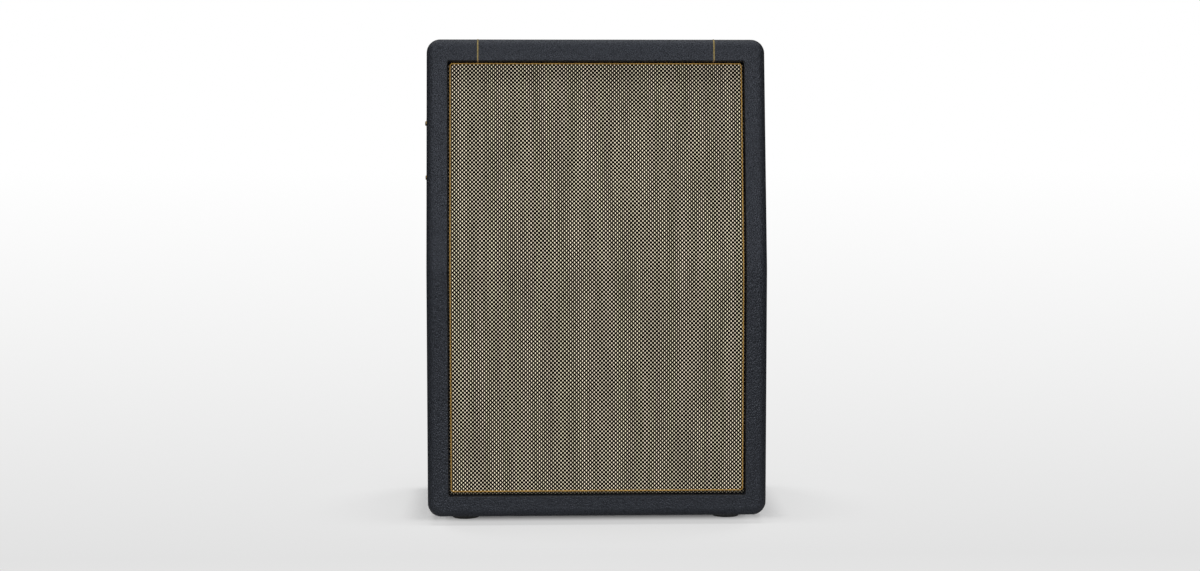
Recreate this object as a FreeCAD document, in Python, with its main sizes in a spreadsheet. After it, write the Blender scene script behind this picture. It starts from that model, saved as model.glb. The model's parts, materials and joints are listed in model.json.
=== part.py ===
import FreeCAD, Part
import math
import os
import re

import Sketcher
from FreeCAD import Placement, Rotation, Vector

# A vertical guitar speaker cabinet with a slanted upper front and two 12-inch speakers.
# X runs to the right, Y to the back and Z up. The origin lies on the floor under the middle
# of the footprint. Lengths are millimetres and angles are degrees.

doc = FreeCAD.newDocument("guitar_speaker_cabinet")
sheet = doc.addObject("Spreadsheet::Sheet", "sizes")
nodes = []


SIZES = {
    # Case: boards, covering and front.
    "width": 500,  # overall width over the covering
    "body_height": 702,  # height from the underside to the top
    "base_depth": 365,  # depth at the base
    "kink_rise": 15,  # height of the bend in the front above the middle of the body
    "slant_angle": 10,  # lean of the upper front
    "bend_radius": 60,  # rounding of the bend in the front
    "corner_radius": 20,  # rounding of the four long corners
    "edge_radius": 12,  # rounding of the front edges
    "rear_edge_radius": 8,  # rounding of the rear edges
    "board": 18,  # plywood of the case
    "finger_width": 33,  # width of one finger of the corner joints
    "vinyl": 1,  # thickness of the covering
    "frame_side": 31,  # width of the front frame at the sides
    "frame_bottom": 31.2,  # width of the front frame at the bottom
    "frame_top": 31.8,  # width of the front frame at the top, along the slant
    "frame_depth": 22,  # depth from the front to the baffle
    "reveal_radius": 1.2,  # rounding of the front frame's inner edge
    "opening_corner": 3,  # rounding in the corners of the front opening
    "seam_inset": 75.6,  # distance of each covering seam from the side
    "seam_bead_width": 2.2,  # width of the bead in a covering seam
    "seam_bead_rise": 0.6,  # height of that bead above the covering
    # Grille.
    "cloth_recess": 12,  # depth from the front to the cloth
    "cloth": 1,  # thickness of the cloth
    "cloth_edge_radius": 2,  # rounding of the grille's front edges
    "grille_gap": 1.3,  # gap between the cloth and the front frame
    "grille_rail": 15,  # width of the grille frame's rails
    "bead": 2,  # diameter of the bead round the grille
    "bead_inset_side": 2.3,  # from the cloth's side edge to the middle of the bead
    "bead_inset_top": 1.1,  # from the cloth's top edge to the middle of the bead
    "bead_inset_bottom": 4.7,  # from the cloth's bottom edge to the middle of the bead
    "bead_corner": 4,  # radius of the bead at the grille's corners
    "bead_gap": 0.05,  # gap between the bead and the cloth
    # Baffles and back.
    "baffle_board": 18,  # plywood of the baffles
    "fit_gap": 0.4,  # gap round a board that slides in
    "cleat_reach": 8,  # height of the cleat on each side of the baffle joint
    "cleat_depth": 15,  # thickness of the cleat
    "back_recess": 8,  # depth from the rear edge to the back panel
    "back_board": 12,  # plywood of the back panel
    "back_gap": 1,  # gap round the back panel
    "batten": 18,  # section of the battens behind the back panel
    # Fasteners.
    "screw_radius": 2,  # shank of a wood screw
    "screw_head": 3.7,  # radius of a screw head
    "screw_rise": 2.4,  # height of a screw head
    "pilot_gap": 0.15,  # gap between a shank and its hole
    "screw_bite": 13,  # length of a screw in the wood that holds it
    "back_screw_inset": 10,  # from the back panel's edge to its screws
    "cup_washer_radius": 6.5,  # cup washers of the back panel's screws
    "cup_washer_height": 1.8,  # height of a cup washer
    # Recessed side handles.
    "handle_drop": 165,  # a handle's middle below the top
    "handle_back": 14.5,  # a handle's middle behind the middle of the base
    "handle_length": 170,  # length of the handle's flange
    "handle_width": 106,  # height of the handle's flange
    "handle_flange": 3,  # thickness of the handle's flange
    "handle_corner": 12,  # rounding of the handle's corners
    "handle_screw_length": 144,  # distance of the handle's screws along the side
    "handle_screw_width": 81.5,  # vertical distance of the handle's screws
    "cup_length": 124,  # length of the handle's cup, outside
    "cup_width": 76,  # height of the handle's cup, outside
    "cup_depth": 46,  # depth of the handle's cup, outside
    "cup_wall": 3,  # wall of the handle's cup
    "cup_corner": 10,  # rounding of the cup's corners
    "grip_lip": 14,  # height of the lip that the fingers pull on
    "grip_lip_depth": 9,  # thickness of that lip behind the side
    "cup_gap": 1,  # gap between the cup and the board
    # Feet.
    "foot_height": 12,  # height of a foot
    "foot_radius": 20.5,  # radius of a foot at the top
    "foot_taper": 3.5,  # how much narrower a foot is at the floor
    "foot_rim": 2.4,  # height of a foot's straight rim
    "foot_chamfer": 1.5,  # chamfer of a foot at the floor
    "foot_recess_radius": 9.5,  # radius of the recess for the foot's screw
    "foot_recess": 7,  # depth of that recess
    "foot_side": 54,  # from the side to a foot's middle
    "foot_front": 72,  # from the front or back to a foot's middle
    "washer": 1.2,  # thickness of a foot's washer
    # Jack and its dish.
    "jack_rise": 15,  # height of the jack above the middle of the body
    "jack_bore": 6.5,  # bore for a quarter-inch plug
    "jack_length": 32,  # length of the bore
    "jack_bush": 9.4,  # diameter of the threaded bush
    "jack_body": 22,  # diameter of the jack's body
    "jack_nut": 14,  # width of the nut across its flats
    "jack_nut_height": 2.5,  # height of the nut
    "dish_flange": 36,  # radius of the dish's flange
    "dish_radius": 28,  # radius of the dish behind its flange
    "dish_depth": 14,  # depth of the dish
    "dish_wall": 2,  # wall of the dish
    # Speakers.
    "speaker_gap": 2,  # gap between a speaker's flange and the cleat
    "speaker_top_gap": 6.4,  # gap between the upper flange and the top panel, along the slant
    "flange_land": 13,  # width of the flange that rests on the baffle
    "gasket": 5,  # height of the gasket
    "steel": 1.5,  # sheet steel of the basket
    "bolt_inset": 6,  # from the flange's edge to the mounting screws
    "flange_width": 18.5,  # from the flange's edge to the basket's cone
    "basket_depth": 54,  # depth of the basket's cone, which is as wide as it is deep
    "shelf_width": 16,  # width of the spider's shelf
    "neck_depth": 21,  # length of the basket's neck
    "window_margin": 8,  # from a window of the basket to the ends of its cone
    "window_angle": 19,  # half of a window's angle
    "surround_width": 14,  # width of the surround between the basket and the cone
    "cone_front": 6,  # cone's edge behind the basket's flange
    "cone_depth": 43,  # depth of the cone
    "paper": 0.8,  # thickness of the cone, surround and spider
    "surround_land": 5,  # width of the surround's glued edge
    "spider_rise": 4,  # how far the spider's middle stands behind its shelf
    "cap_radius": 30,  # radius of the dust cap
    "cap_rise": 13,  # height of the dust cap
    "coil_radius": 22.6,  # outer radius of the coil former
    "former": 0.45,  # wall of the coil former
    "winding": 0.45,  # thickness of the winding
    "winding_length": 12,  # length of the winding
    "coil_gap": 0.4,  # running gap on both sides of the coil
    "plate_radius": 65,  # radius of the front plate
    "plate": 8,  # thickness of the front plate and of the back plate
    "magnet_radius": 78,  # radius of the magnet
    "magnet_bore": 30,  # bore of the magnet
    "magnet_height": 20,  # height of the magnet
    "yoke_radius": 70,  # radius of the back plate
    "vent_radius": 6,  # vent through the pole
    "terminal_length": 34,  # length of the terminal board
    "terminal_board": 1.6,  # thickness of the terminal board
    "tab": 1,  # thickness of a terminal's tab
    "tab_width": 6,  # width of a tab
    "tab_reach": 7,  # how far a tab stands out past the spider's shelf
    "lead_diameter": 6,  # diameter of a speaker lead
    "lead_spacing": 4.2,  # distance of each lead's end from the jack's middle
}
for row, (name, number) in enumerate(SIZES.items(), 1):
    sheet.set(f"A{row}", name)
    sheet.set(f"B{row}", str(number))
    sheet.setAlias(f"B{row}", name)
doc.recompute()


def formula(text):
    """Turn plain names of sizes into references to the sheet's cells."""

    def cell(match):
        word = match.group()
        return f"sizes.{word}" if word in SIZES else word

    return re.sub(r"[a-z][a-z_0-9]*", cell, text)


def value(text):
    """The number that a formula gives with the sheet's present sizes."""
    return float(sheet.evalExpression(formula(text)))


FRONT = "(-base_depth / 2)"
REAR = "(base_depth / 2)"
BASE = "foot_height"
TOP = "(foot_height + body_height)"
MIDDLE = "(foot_height + body_height / 2)"
KINK = f"({MIDDLE} + kink_rise)"
FACE = "((body_height / 2 - kink_rise) / cos(slant_angle))"
INNER_SIDE = "(width / 2 - vinyl - board)"
INNER_BOTTOM = "(foot_height + vinyl + board)"
INNER_TOP = "(foot_height + body_height - vinyl - board)"
OPENING_SIDE = "(width / 2 - frame_side)"
OPENING_BOTTOM = "(foot_height + frame_bottom)"
OPENING_TOP = f"({FACE} - frame_top)"
BAFFLE_BACK = "(frame_depth + baffle_board)"
BACK_FACE = "(base_depth / 2 - back_recess)"
BACK_SEAT = "(back_recess + back_board)"
HOLE = "(screw_radius + pilot_gap)"
SEAM = "(width / 2 - seam_inset)"
HANDLE = f"({TOP} - handle_drop)"
JACK = f"({MIDDLE} + jack_rise)"


def slant_y(depth, along):
    """Y of a point behind the slanted front, from its depth and its way up from the bend."""
    return f"({FRONT} + ({along}) * sin(slant_angle) + ({depth}) * cos(slant_angle))"


def slant_z(depth, along):
    """Z of the same point."""
    return f"({KINK} + ({along}) * cos(slant_angle) - ({depth}) * sin(slant_angle))"


def along_at(height, depth):
    """Way up the slant at which a plane of some depth reaches a height."""
    return f"((({height}) - {KINK} + ({depth}) * sin(slant_angle)) / cos(slant_angle))"


# Each speaker fills its half of the front, between the cleat and the case.
CLEAT_END = f"({BAFFLE_BACK} * tan(slant_angle / 2) + cleat_reach)"
SPEAKER_LOW = f"({CLEAT_END} + speaker_gap)"
SPEAKER_HIGH = f"({along_at(INNER_TOP, BAFFLE_BACK)} - speaker_top_gap)"
SPEAKER_MIDDLE = f"(({SPEAKER_HIGH} + {SPEAKER_LOW}) / 2)"
FLANGE = f"(({SPEAKER_HIGH} - {SPEAKER_LOW}) / 2)"
CUTOUT = f"({FLANGE} - flange_land)"
BOLTS = f"({FLANGE} - bolt_inset)"


def band(near, far, bottom, top_near, top_far):
    """Side view of a piece that follows the bent front between two depths."""
    return [
        (f"{FRONT} + ({near})", bottom),
        (f"{FRONT} + ({near})", f"{KINK} - ({near}) * tan(slant_angle / 2)"),
        (slant_y(near, top_near), slant_z(near, top_near)),
        (slant_y(far, top_far), slant_z(far, top_far)),
        (f"{FRONT} + ({far})", f"{KINK} - ({far}) * tan(slant_angle / 2)"),
        (f"{FRONT} + ({far})", bottom),
    ]


def depth_of(point):
    """Depth of a point behind the bent front."""
    lean = math.radians(value("slant_angle"))
    lower = point.y - value(FRONT)
    upper = lower * math.cos(lean) - (point.z - value(KINK)) * math.sin(lean)
    return max(lower, upper) if lean < 0 else min(lower, upper)


def node(thing, label):
    """Name a finished sub-part and list it for export."""
    thing.Label = label
    nodes.append(thing)
    return thing


def place(thing, x="0", y="0", z="0", lean=False):
    """Bind a piece's place, and its lean where it stands on the slanted front."""
    if lean:
        thing.Placement = Placement(Vector(), Rotation(Vector(-1, 0, 0), value("slant_angle")))
        thing.setExpression("Placement.Rotation.Angle", formula("slant_angle"))
    for axis, text in zip("xyz", (x, y, z)):
        thing.setExpression(f"Placement.Base.{axis}", formula(text))
    return thing


def new_body(name):
    return doc.addObject("PartDesign::Body", name)


def datum(body, role):
    return next(feature for feature in body.Origin.OriginFeatures if feature.Role == role)


def new_sketch(body, plane, offset=None):
    sketch = body.newObject("Sketcher::SketchObject", f"{body.Name}_sketch")
    sketch.AttachmentSupport = [(datum(body, plane), "")]
    sketch.MapMode = "FlatFace"
    if offset:
        sketch.setExpression("AttachmentOffset.Base.z", formula(offset))
    return sketch


def pin(sketch, geometry, position, point):
    """Fix one point of a sketch to two formulas."""
    for kind, text in zip(("DistanceX", "DistanceY"), point):
        constraint = Sketcher.Constraint(kind, -1, 1, geometry, position, value(text))
        index = sketch.addConstraint(constraint)
        sketch.setExpression(f"Constraints[{index}]", formula(text))


def arc_between(start, end, radius, bulge):
    """A circle's arc of the given radius, bulging to the left (1) or right (-1) of its chord."""
    chord = end - start
    across = Vector(-chord.y, chord.x, 0).normalize()
    sagitta_base = math.sqrt(max(radius ** 2 - (chord.Length / 2) ** 2, 0))
    middle = (start + end) / 2
    summit = middle + across * (bulge * (radius - sagitta_base))
    return Part.Arc(start, summit, end)


def outline(body, plane, points, arcs=None, offset=None):
    """A closed outline whose corners are formulas; arcs maps an edge to its radius and bulge."""
    sketch = new_sketch(body, plane, offset)
    arcs = arcs or {}
    corners = [Vector(value(x), value(y), 0) for x, y in points]
    ends = []
    for index, start in enumerate(corners):
        end = corners[(index + 1) % len(corners)]
        if index not in arcs:
            geometry = sketch.addGeometry(Part.LineSegment(start, end), False)
            ends.append((geometry, 1, 2))
            continue
        radius, bulge = arcs[index]
        geometry = sketch.addGeometry(arc_between(start, end, value(radius), bulge), False)
        starts_here = sketch.getPoint(geometry, 1).distanceToPoint(start) < 1e-6
        ends.append((geometry, 1, 2) if starts_here else (geometry, 2, 1))
        turn = sketch.addConstraint(Sketcher.Constraint("Radius", geometry, value(radius)))
        sketch.setExpression(f"Constraints[{turn}]", formula(radius))
    for index, (geometry, _, last) in enumerate(ends):
        following, first, _ = ends[(index + 1) % len(ends)]
        sketch.addConstraint(Sketcher.Constraint("Coincident", geometry, last, following, first))
    for (geometry, first, _), point in zip(ends, points):
        pin(sketch, geometry, first, point)
    return sketch


def rectangle(left, right, bottom, top):
    return [(left, bottom), (right, bottom), (right, top), (left, top)]


def circles(body, plane, centres, diameter, offset=None):
    """Equal circles in one sketch."""
    sketch = new_sketch(body, plane, offset)
    for centre in centres:
        middle = Vector(value(centre[0]), value(centre[1]), 0)
        circle = Part.Circle(middle, Vector(0, 0, 1), value(diameter) / 2)
        geometry = sketch.addGeometry(circle, False)
        index = sketch.addConstraint(Sketcher.Constraint("Diameter", geometry, value(diameter)))
        sketch.setExpression(f"Constraints[{index}]", formula(diameter))
        pin(sketch, geometry, 3, centre)
    return sketch


def extrude(body, kind, sketch, length=None, symmetric=False, reverse=False):
    """A pad or pocket; without a length a pocket runs right through."""
    feature = body.newObject(f"PartDesign::{kind}", f"{body.Name}_{kind.lower()}")
    feature.Profile = sketch
    feature.Reversed = reverse
    if symmetric:
        feature.SideType = "Symmetric"
    if length:
        feature.setExpression("Length", formula(length))
    else:
        feature.Type = "ThroughAll"
    sketch.Visibility = False
    doc.recompute()
    return feature


def pad(body, sketch, length, symmetric=False, reverse=False):
    return extrude(body, "Pad", sketch, length, symmetric, reverse)


def pocket(body, sketch, length=None, symmetric=False, reverse=False):
    return extrude(body, "Pocket", sketch, length, symmetric, reverse)


def revolve(body, sketch, axis):
    feature = body.newObject("PartDesign::Revolution", f"{body.Name}_revolution")
    feature.Profile = sketch
    feature.ReferenceAxis = (datum(body, axis), [""])
    sketch.Visibility = False
    doc.recompute()
    return feature


def pattern_round(body, feature, axis, count):
    """Repeat a feature round an axis of its body."""
    pattern = body.newObject("PartDesign::PolarPattern", f"{body.Name}_pattern")
    pattern.Originals = [feature]
    pattern.Axis = (datum(body, axis), [""])
    pattern.Angle = 360
    pattern.Occurrences = count
    body.Tip = pattern
    doc.recompute()
    return pattern


def round_edges(body, radius, chosen):
    """Fillet the edges of a body that a test picks."""
    base = body.Tip
    names = [f"Edge{number}" for number, edge in enumerate(base.Shape.Edges, 1) if chosen(edge)]
    feature = body.newObject("PartDesign::Fillet", f"{body.Name}_fillet")
    feature.Base = (base, names)
    feature.setExpression("Radius", formula(radius))
    doc.recompute()
    return feature


def runs_along(edge, direction):
    """Whether a straight edge is parallel to a direction."""
    if edge.Curve.TypeId != "Part::GeomLine":
        return False
    return abs(abs(edge.tangentAt(edge.FirstParameter).dot(direction)) - 1) < 1e-6


def middle_of(edge):
    return edge.valueAt((edge.FirstParameter + edge.LastParameter) / 2)


def box(name, x, y, z):
    """A plain block between pairs of formulas."""
    block = doc.addObject("Part::Box", name)
    for side, (low, high) in zip(("Length", "Width", "Height"), (x, y, z)):
        block.setExpression(side, formula(f"({high}) - ({low})"))
    return place(block, x[0], y[0], z[0])


def combine(kind, name, *things):
    """A boolean of whole pieces: Cut and Common take two, MultiFuse any number."""
    result = doc.addObject(f"Part::{kind}", name)
    if kind == "MultiFuse":
        result.Shapes = list(things)
    else:
        result.Base, result.Tool = things
    for thing in things:
        thing.Visibility = False
    doc.recompute()
    return result


def mirror(thing, name):
    """The same piece on the other side of the cabinet."""
    twin = doc.addObject("Part::Mirroring", name)
    twin.Source = thing
    twin.Normal = Vector(1, 0, 0)
    doc.recompute()
    return twin


def group(name, shape):
    """Several equal solids as one piece."""
    feature = doc.addObject("Part::Feature", name)
    feature.Shape = shape
    return feature


X_AXIS = Vector(1, 0, 0)
Y_AXIS = Vector(0, 1, 0)
Z_AXIS = Vector(0, 0, 1)


# The case's outside as one rounded block, once over the covering and once over the boards.
def envelope(name, skin):
    body = new_body(name)
    top_front = slant_y(skin, along_at(f"{TOP} - ({skin})", skin))
    side = [
        (f"{FRONT} + ({skin})", f"{BASE} + ({skin})"),
        (f"{FRONT} + ({skin})", f"{KINK} - ({skin}) * tan(slant_angle / 2)"),
        (top_front, f"{TOP} - ({skin})"),
        (f"{REAR} - ({skin})", f"{TOP} - ({skin})"),
        (f"{REAR} - ({skin})", f"{BASE} + ({skin})"),
    ]
    pad(body, outline(body, "YZ_Plane", side), f"width - 2 * ({skin})", symmetric=True)
    kink = value(f"{KINK} - ({skin}) * tan(slant_angle / 2)")
    round_edges(body, f"corner_radius - ({skin})", lambda edge: runs_along(edge, Y_AXIS))
    round_edges(
        body,
        f"bend_radius - ({skin})",
        lambda edge: runs_along(edge, X_AXIS) and abs(middle_of(edge).z - kink) < 0.01,
    )
    front = value(skin) + value("bend_radius") * (1 / math.cos(math.radians(value("slant_angle") / 2)) - 1)
    clear = value("bend_radius")
    rear = value(f"{REAR} - ({skin})")

    def on_front_rim(edge):
        if depth_of(middle_of(edge)) > front + 0.01:
            return False
        return not runs_along(edge, X_AXIS) or abs(middle_of(edge).z - kink) > clear

    round_edges(body, f"edge_radius - ({skin})", on_front_rim)
    round_edges(
        body,
        f"rear_edge_radius - ({skin})",
        lambda edge: abs(edge.BoundBox.YMin - rear) < 0.01,
    )
    return body


cover_envelope = envelope("cover_envelope", "0")
board_envelope = envelope("board_envelope", "vinyl")


# A block that follows the bent front, with its own width, ends and rounded bend.
def front_slab(name, near, far, half_width, bottom, top, bend=True):
    body = new_body(name)
    side = band(near, far, bottom, top, top)
    pad(body, outline(body, "YZ_Plane", side), f"2 * ({half_width})", symmetric=True)
    if bend:
        kink = value(f"{KINK} - ({near}) * tan(slant_angle / 2)")
        front = value(f"{FRONT} + ({near})")
        round_edges(
            body,
            f"bend_radius - ({near})",
            lambda edge: runs_along(edge, X_AXIS)
            and abs(middle_of(edge).z - kink) < 0.01
            and abs(middle_of(edge).y - front) < 0.01,
        )
    return body


# Plywood shell: four boards with fingers at the corners, shaped by the rounded block.
left_block = box(
    "left_block",
    ("-width / 2 + vinyl", f"-{INNER_SIDE}"),
    (f"{FRONT} - board", f"{REAR} + board"),
    (f"{BASE} + vinyl", f"{TOP} - vinyl"),
)
right_block = mirror(left_block, "right_block")
top_block = box(
    "top_block",
    ("-width / 2 + vinyl", "width / 2 - vinyl"),
    (f"{FRONT} - board", f"{REAR} + board"),
    (INNER_TOP, f"{TOP} - vinyl"),
)
bottom_block = box(
    "bottom_block",
    ("-width / 2 + vinyl", "width / 2 - vinyl"),
    (f"{FRONT} - board", f"{REAR} + board"),
    (f"{BASE} + vinyl", INNER_BOTTOM),
)
finger_count = math.ceil(value("base_depth / (2 * finger_width)"))
fingers = [
    box(
        f"finger_{number}",
        ("-width", "width"),
        (f"{REAR} - {2 * number + 1} * finger_width", f"{REAR} - {2 * number} * finger_width"),
        ("-board", f"{TOP} + board"),
    )
    for number in range(finger_count)
]
finger_comb = combine("MultiFuse", "finger_comb", *fingers)
ends = combine("MultiFuse", "end_blocks", top_block, bottom_block)
sides = combine("MultiFuse", "side_blocks", left_block, right_block)
side_sockets = combine("Cut", "side_sockets", ends, finger_comb)
end_sockets = combine("Common", "end_sockets", sides, finger_comb)

handle_cut = new_body("handle_cut")
handle_mouth = outline(
    handle_cut,
    "YZ_Plane",
    rectangle(
        "-cup_length / 2 - cup_gap",
        "cup_length / 2 + cup_gap",
        "-cup_width / 2 - cup_gap",
        "cup_width / 2 + cup_gap",
    ),
)
pad(handle_cut, handle_mouth, "4 * (board + vinyl)", symmetric=True)
round_edges(handle_cut, "cup_corner + cup_gap", lambda edge: runs_along(edge, X_AXIS))
handle_holes = circles(
    handle_cut,
    "YZ_Plane",
    [
        (f"{along} * handle_screw_length / 2", f"{up} * handle_screw_width / 2")
        for along in (-1, 1)
        for up in (-1, 1)
    ],
    f"2 * {HOLE}",
)
handle_cut.AllowCompound = True
pad(handle_cut, handle_holes, "2 * (vinyl + screw_bite + pilot_gap)", symmetric=True)
place(handle_cut, "-width / 2", "handle_back", HANDLE)
handle_cut_right = mirror(handle_cut, "handle_cut_right")

left_rough = combine("Cut", "left_rough", left_block, side_sockets)
left_shaped = combine("Common", "left_shaped", left_rough, board_envelope)
left_side_panel = node(combine("Cut", "left_side", left_shaped, handle_cut), "left_side_panel")
right_side_panel = node(mirror(left_side_panel, "right_side"), "right_side_panel")
top_rough = combine("Cut", "top_rough", top_block, end_sockets)
top_panel = node(combine("Common", "top_shaped", top_rough, board_envelope), "top_panel")

FOOT_X = "(width / 2 - foot_side)"
FOOT_Y = "(base_depth / 2 - foot_front)"
foot_places = [(f"{x} * {FOOT_X}", f"{y} * {FOOT_Y}") for y in (-1, 1) for x in (-1, 1)]
foot_holes = new_body("foot_holes")
foot_holes.AllowCompound = True
pad(
    foot_holes,
    circles(foot_holes, "XY_Plane", foot_places, f"2 * {HOLE}", BASE),
    "2 * (vinyl + screw_bite + pilot_gap)",
    symmetric=True,
)
bottom_rough = combine("Cut", "bottom_rough", bottom_block, end_sockets)
bottom_shaped = combine("Common", "bottom_shaped", bottom_rough, board_envelope)
bottom_panel = node(combine("Cut", "bottom_drilled", bottom_shaped, foot_holes), "bottom_panel")


# Strips inside the shell's front edge, which widen the frame and stop the baffle.
left_strip = new_body("left_strip")
strip_side = band(
    "vinyl",
    "frame_depth",
    INNER_BOTTOM,
    along_at(INNER_TOP, "vinyl"),
    along_at(INNER_TOP, "frame_depth"),
)
STRIP = f"({INNER_SIDE} - {OPENING_SIDE} - vinyl)"
pad(left_strip, outline(left_strip, "YZ_Plane", strip_side, offset=f"-{INNER_SIDE}"), STRIP)
strip_kink = value(f"{KINK} - vinyl * tan(slant_angle / 2)")
round_edges(
    left_strip,
    "bend_radius - vinyl",
    lambda edge: runs_along(edge, X_AXIS) and abs(middle_of(edge).z - strip_kink) < 0.01,
)
node(left_strip, "front_strip_left")
node(mirror(left_strip, "right_strip"), "front_strip_right")
top_strip = new_body("top_strip")
top_strip_side = [
    (slant_y("vinyl", f"{OPENING_TOP} + vinyl"), slant_z("vinyl", f"{OPENING_TOP} + vinyl")),
    (slant_y("vinyl", along_at(INNER_TOP, "vinyl")), INNER_TOP),
    (slant_y("frame_depth", along_at(INNER_TOP, "frame_depth")), INNER_TOP),
    (
        slant_y("frame_depth", f"{OPENING_TOP} + vinyl"),
        slant_z("frame_depth", f"{OPENING_TOP} + vinyl"),
    ),
]
STRIP_SPAN = f"2 * ({OPENING_SIDE} + vinyl)"
pad(top_strip, outline(top_strip, "YZ_Plane", top_strip_side), STRIP_SPAN, symmetric=True)
node(top_strip, "front_strip_top")
bottom_strip = box(
    "bottom_strip",
    (f"-{OPENING_SIDE} - vinyl", f"{OPENING_SIDE} + vinyl"),
    (f"{FRONT} + vinyl", f"{FRONT} + frame_depth"),
    (INNER_BOTTOM, f"{OPENING_BOTTOM} - vinyl"),
)
node(bottom_strip, "front_strip_bottom")


# Baffles: one upright and one slanted board, mitred together at the bend.
def baffle(name, label, upper):
    body = new_body(name)
    if upper:
        ends_at = [along_at(f"{INNER_TOP} - fit_gap", depth) for depth in ("frame_depth", BAFFLE_BACK)]
        mitre = "tan(slant_angle / 2)"
        middle = SPEAKER_MIDDLE
    else:
        ends_at = [f"{INNER_BOTTOM} + fit_gap - {KINK}"] * 2
        mitre = "-tan(slant_angle / 2)"
        middle = f"-{SPEAKER_MIDDLE}"
    side = [
        ("frame_depth", f"frame_depth * {mitre}"),
        ("frame_depth", ends_at[0]),
        (BAFFLE_BACK, ends_at[1]),
        (BAFFLE_BACK, f"{BAFFLE_BACK} * {mitre}"),
    ]
    span = f"2 * ({INNER_SIDE} - fit_gap)"
    pad(body, outline(body, "YZ_Plane", side), span, symmetric=True)
    pocket(body, circles(body, "XZ_Plane", [("0", middle)], f"2 * {CUTOUT}"), symmetric=True)
    holes = [
        (f"{BOLTS} * sin({angle})", f"{middle} + {BOLTS} * cos({angle})")
        for angle in SCREW_ANGLES
    ]
    pocket(body, circles(body, "XZ_Plane", holes, f"2 * {HOLE}"), symmetric=True)
    place(body, "0", FRONT, KINK, lean=upper)
    return node(body, label)


SCREW_ANGLES = [22.5 + 45 * number for number in range(8)]
baffle("upper_board", "upper_baffle", True)
baffle("lower_board", "lower_baffle", False)

# The cleat glued behind the joint of the two baffles.
cleat = new_body("cleat")
CLEAT_BACK = f"({BAFFLE_BACK} + cleat_depth)"
cleat_side = band(
    BAFFLE_BACK,
    CLEAT_BACK,
    f"{KINK} - {CLEAT_END}",
    CLEAT_END,
    CLEAT_END,
)
pad(cleat, outline(cleat, "YZ_Plane", cleat_side), f"2 * ({INNER_SIDE} - fit_gap)", symmetric=True)
node(cleat, "baffle_cleat")


# Covering: the skin between the two rounded blocks, turned into the front opening and over the
# rear edges, and parted at the two seams on top.
front_opening = front_slab(
    "front_opening", "-board", "frame_depth", OPENING_SIDE, OPENING_BOTTOM, OPENING_TOP
)
slant_inward = Vector(0, math.cos(math.radians(value("slant_angle"))), 0)
slant_inward.z = -math.sin(math.radians(value("slant_angle")))
opening_low = value(OPENING_BOTTOM)
round_edges(
    front_opening,
    "opening_corner",
    lambda edge: (runs_along(edge, Y_AXIS) and abs(middle_of(edge).z - opening_low) < 0.01)
    or runs_along(edge, slant_inward),
)
front_core = front_slab(
    "front_core",
    "-board",
    "frame_depth",
    f"{OPENING_SIDE} + vinyl",
    f"{OPENING_BOTTOM} - vinyl",
    f"{OPENING_TOP} + vinyl",
)
rear_opening = box(
    "rear_opening",
    (f"-{INNER_SIDE} + vinyl", f"{INNER_SIDE} - vinyl"),
    (f"{REAR} - {BACK_SEAT}", f"{REAR} + board"),
    (f"{INNER_BOTTOM} + vinyl", f"{INNER_TOP} - vinyl"),
)
rear_core = box(
    "rear_core",
    (f"-{INNER_SIDE}", INNER_SIDE),
    (f"{REAR} - {BACK_SEAT}", f"{REAR} + board"),
    (INNER_BOTTOM, INNER_TOP),
)
openings = combine("MultiFuse", "openings", front_opening, rear_opening)
cores = combine("MultiFuse", "cores", front_core, rear_core)
open_cover = combine("Cut", "open_cover", cover_envelope, openings)
open_boards = combine("Cut", "open_boards", board_envelope, cores)
bend_rise = value("bend_radius") * (1 / math.cos(math.radians(value("slant_angle") / 2)) - 1)


def on_reveal_rim(edge):
    """Edges between the frame's front and the sides of its opening."""
    if depth_of(middle_of(edge)) > bend_rise + 0.01:
        return False
    bounds = edge.BoundBox
    reach = max(abs(bounds.XMin), abs(bounds.XMax))
    if reach > value(OPENING_SIDE) + 0.01:
        return False
    crosses = runs_along(edge, X_AXIS)
    return not crosses or abs(middle_of(edge).z - value(KINK)) > value("bend_radius")


rounded_cover = doc.addObject("Part::Fillet", "rounded_cover")
rounded_cover.Base = open_cover
reveal = value("reveal_radius")
rounded_cover.Edges = [
    (number, reveal, reveal)
    for number, edge in enumerate(open_cover.Shape.Edges, 1)
    if on_reveal_rim(edge)
]
doc.recompute()
handle_cuts = combine("MultiFuse", "handle_cuts", handle_cut, handle_cut_right, foot_holes)
full_skin = combine("Cut", "full_skin", rounded_cover, open_boards)
skin = combine("Cut", "skin", full_skin, handle_cuts)
SEAM_FLOOR = f"({TOP} - frame_top - board)"
wrap_limit = box(
    "wrap_limit",
    (f"-{SEAM} - seam_bead_width / 2", f"{SEAM} + seam_bead_width / 2"),
    (f"{FRONT} - board", f"{REAR} + board"),
    (SEAM_FLOOR, f"{TOP} + board"),
)
top_limit = box(
    "top_limit",
    (f"-{SEAM} + seam_bead_width / 2", f"{SEAM} - seam_bead_width / 2"),
    (f"{FRONT} - board", f"{REAR} + board"),
    (SEAM_FLOOR, f"{TOP} + board"),
)
node(combine("Cut", "wrap_skin", skin, wrap_limit), "covering_wrap")
node(combine("Common", "top_skin", skin, top_limit), "covering_top")


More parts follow.
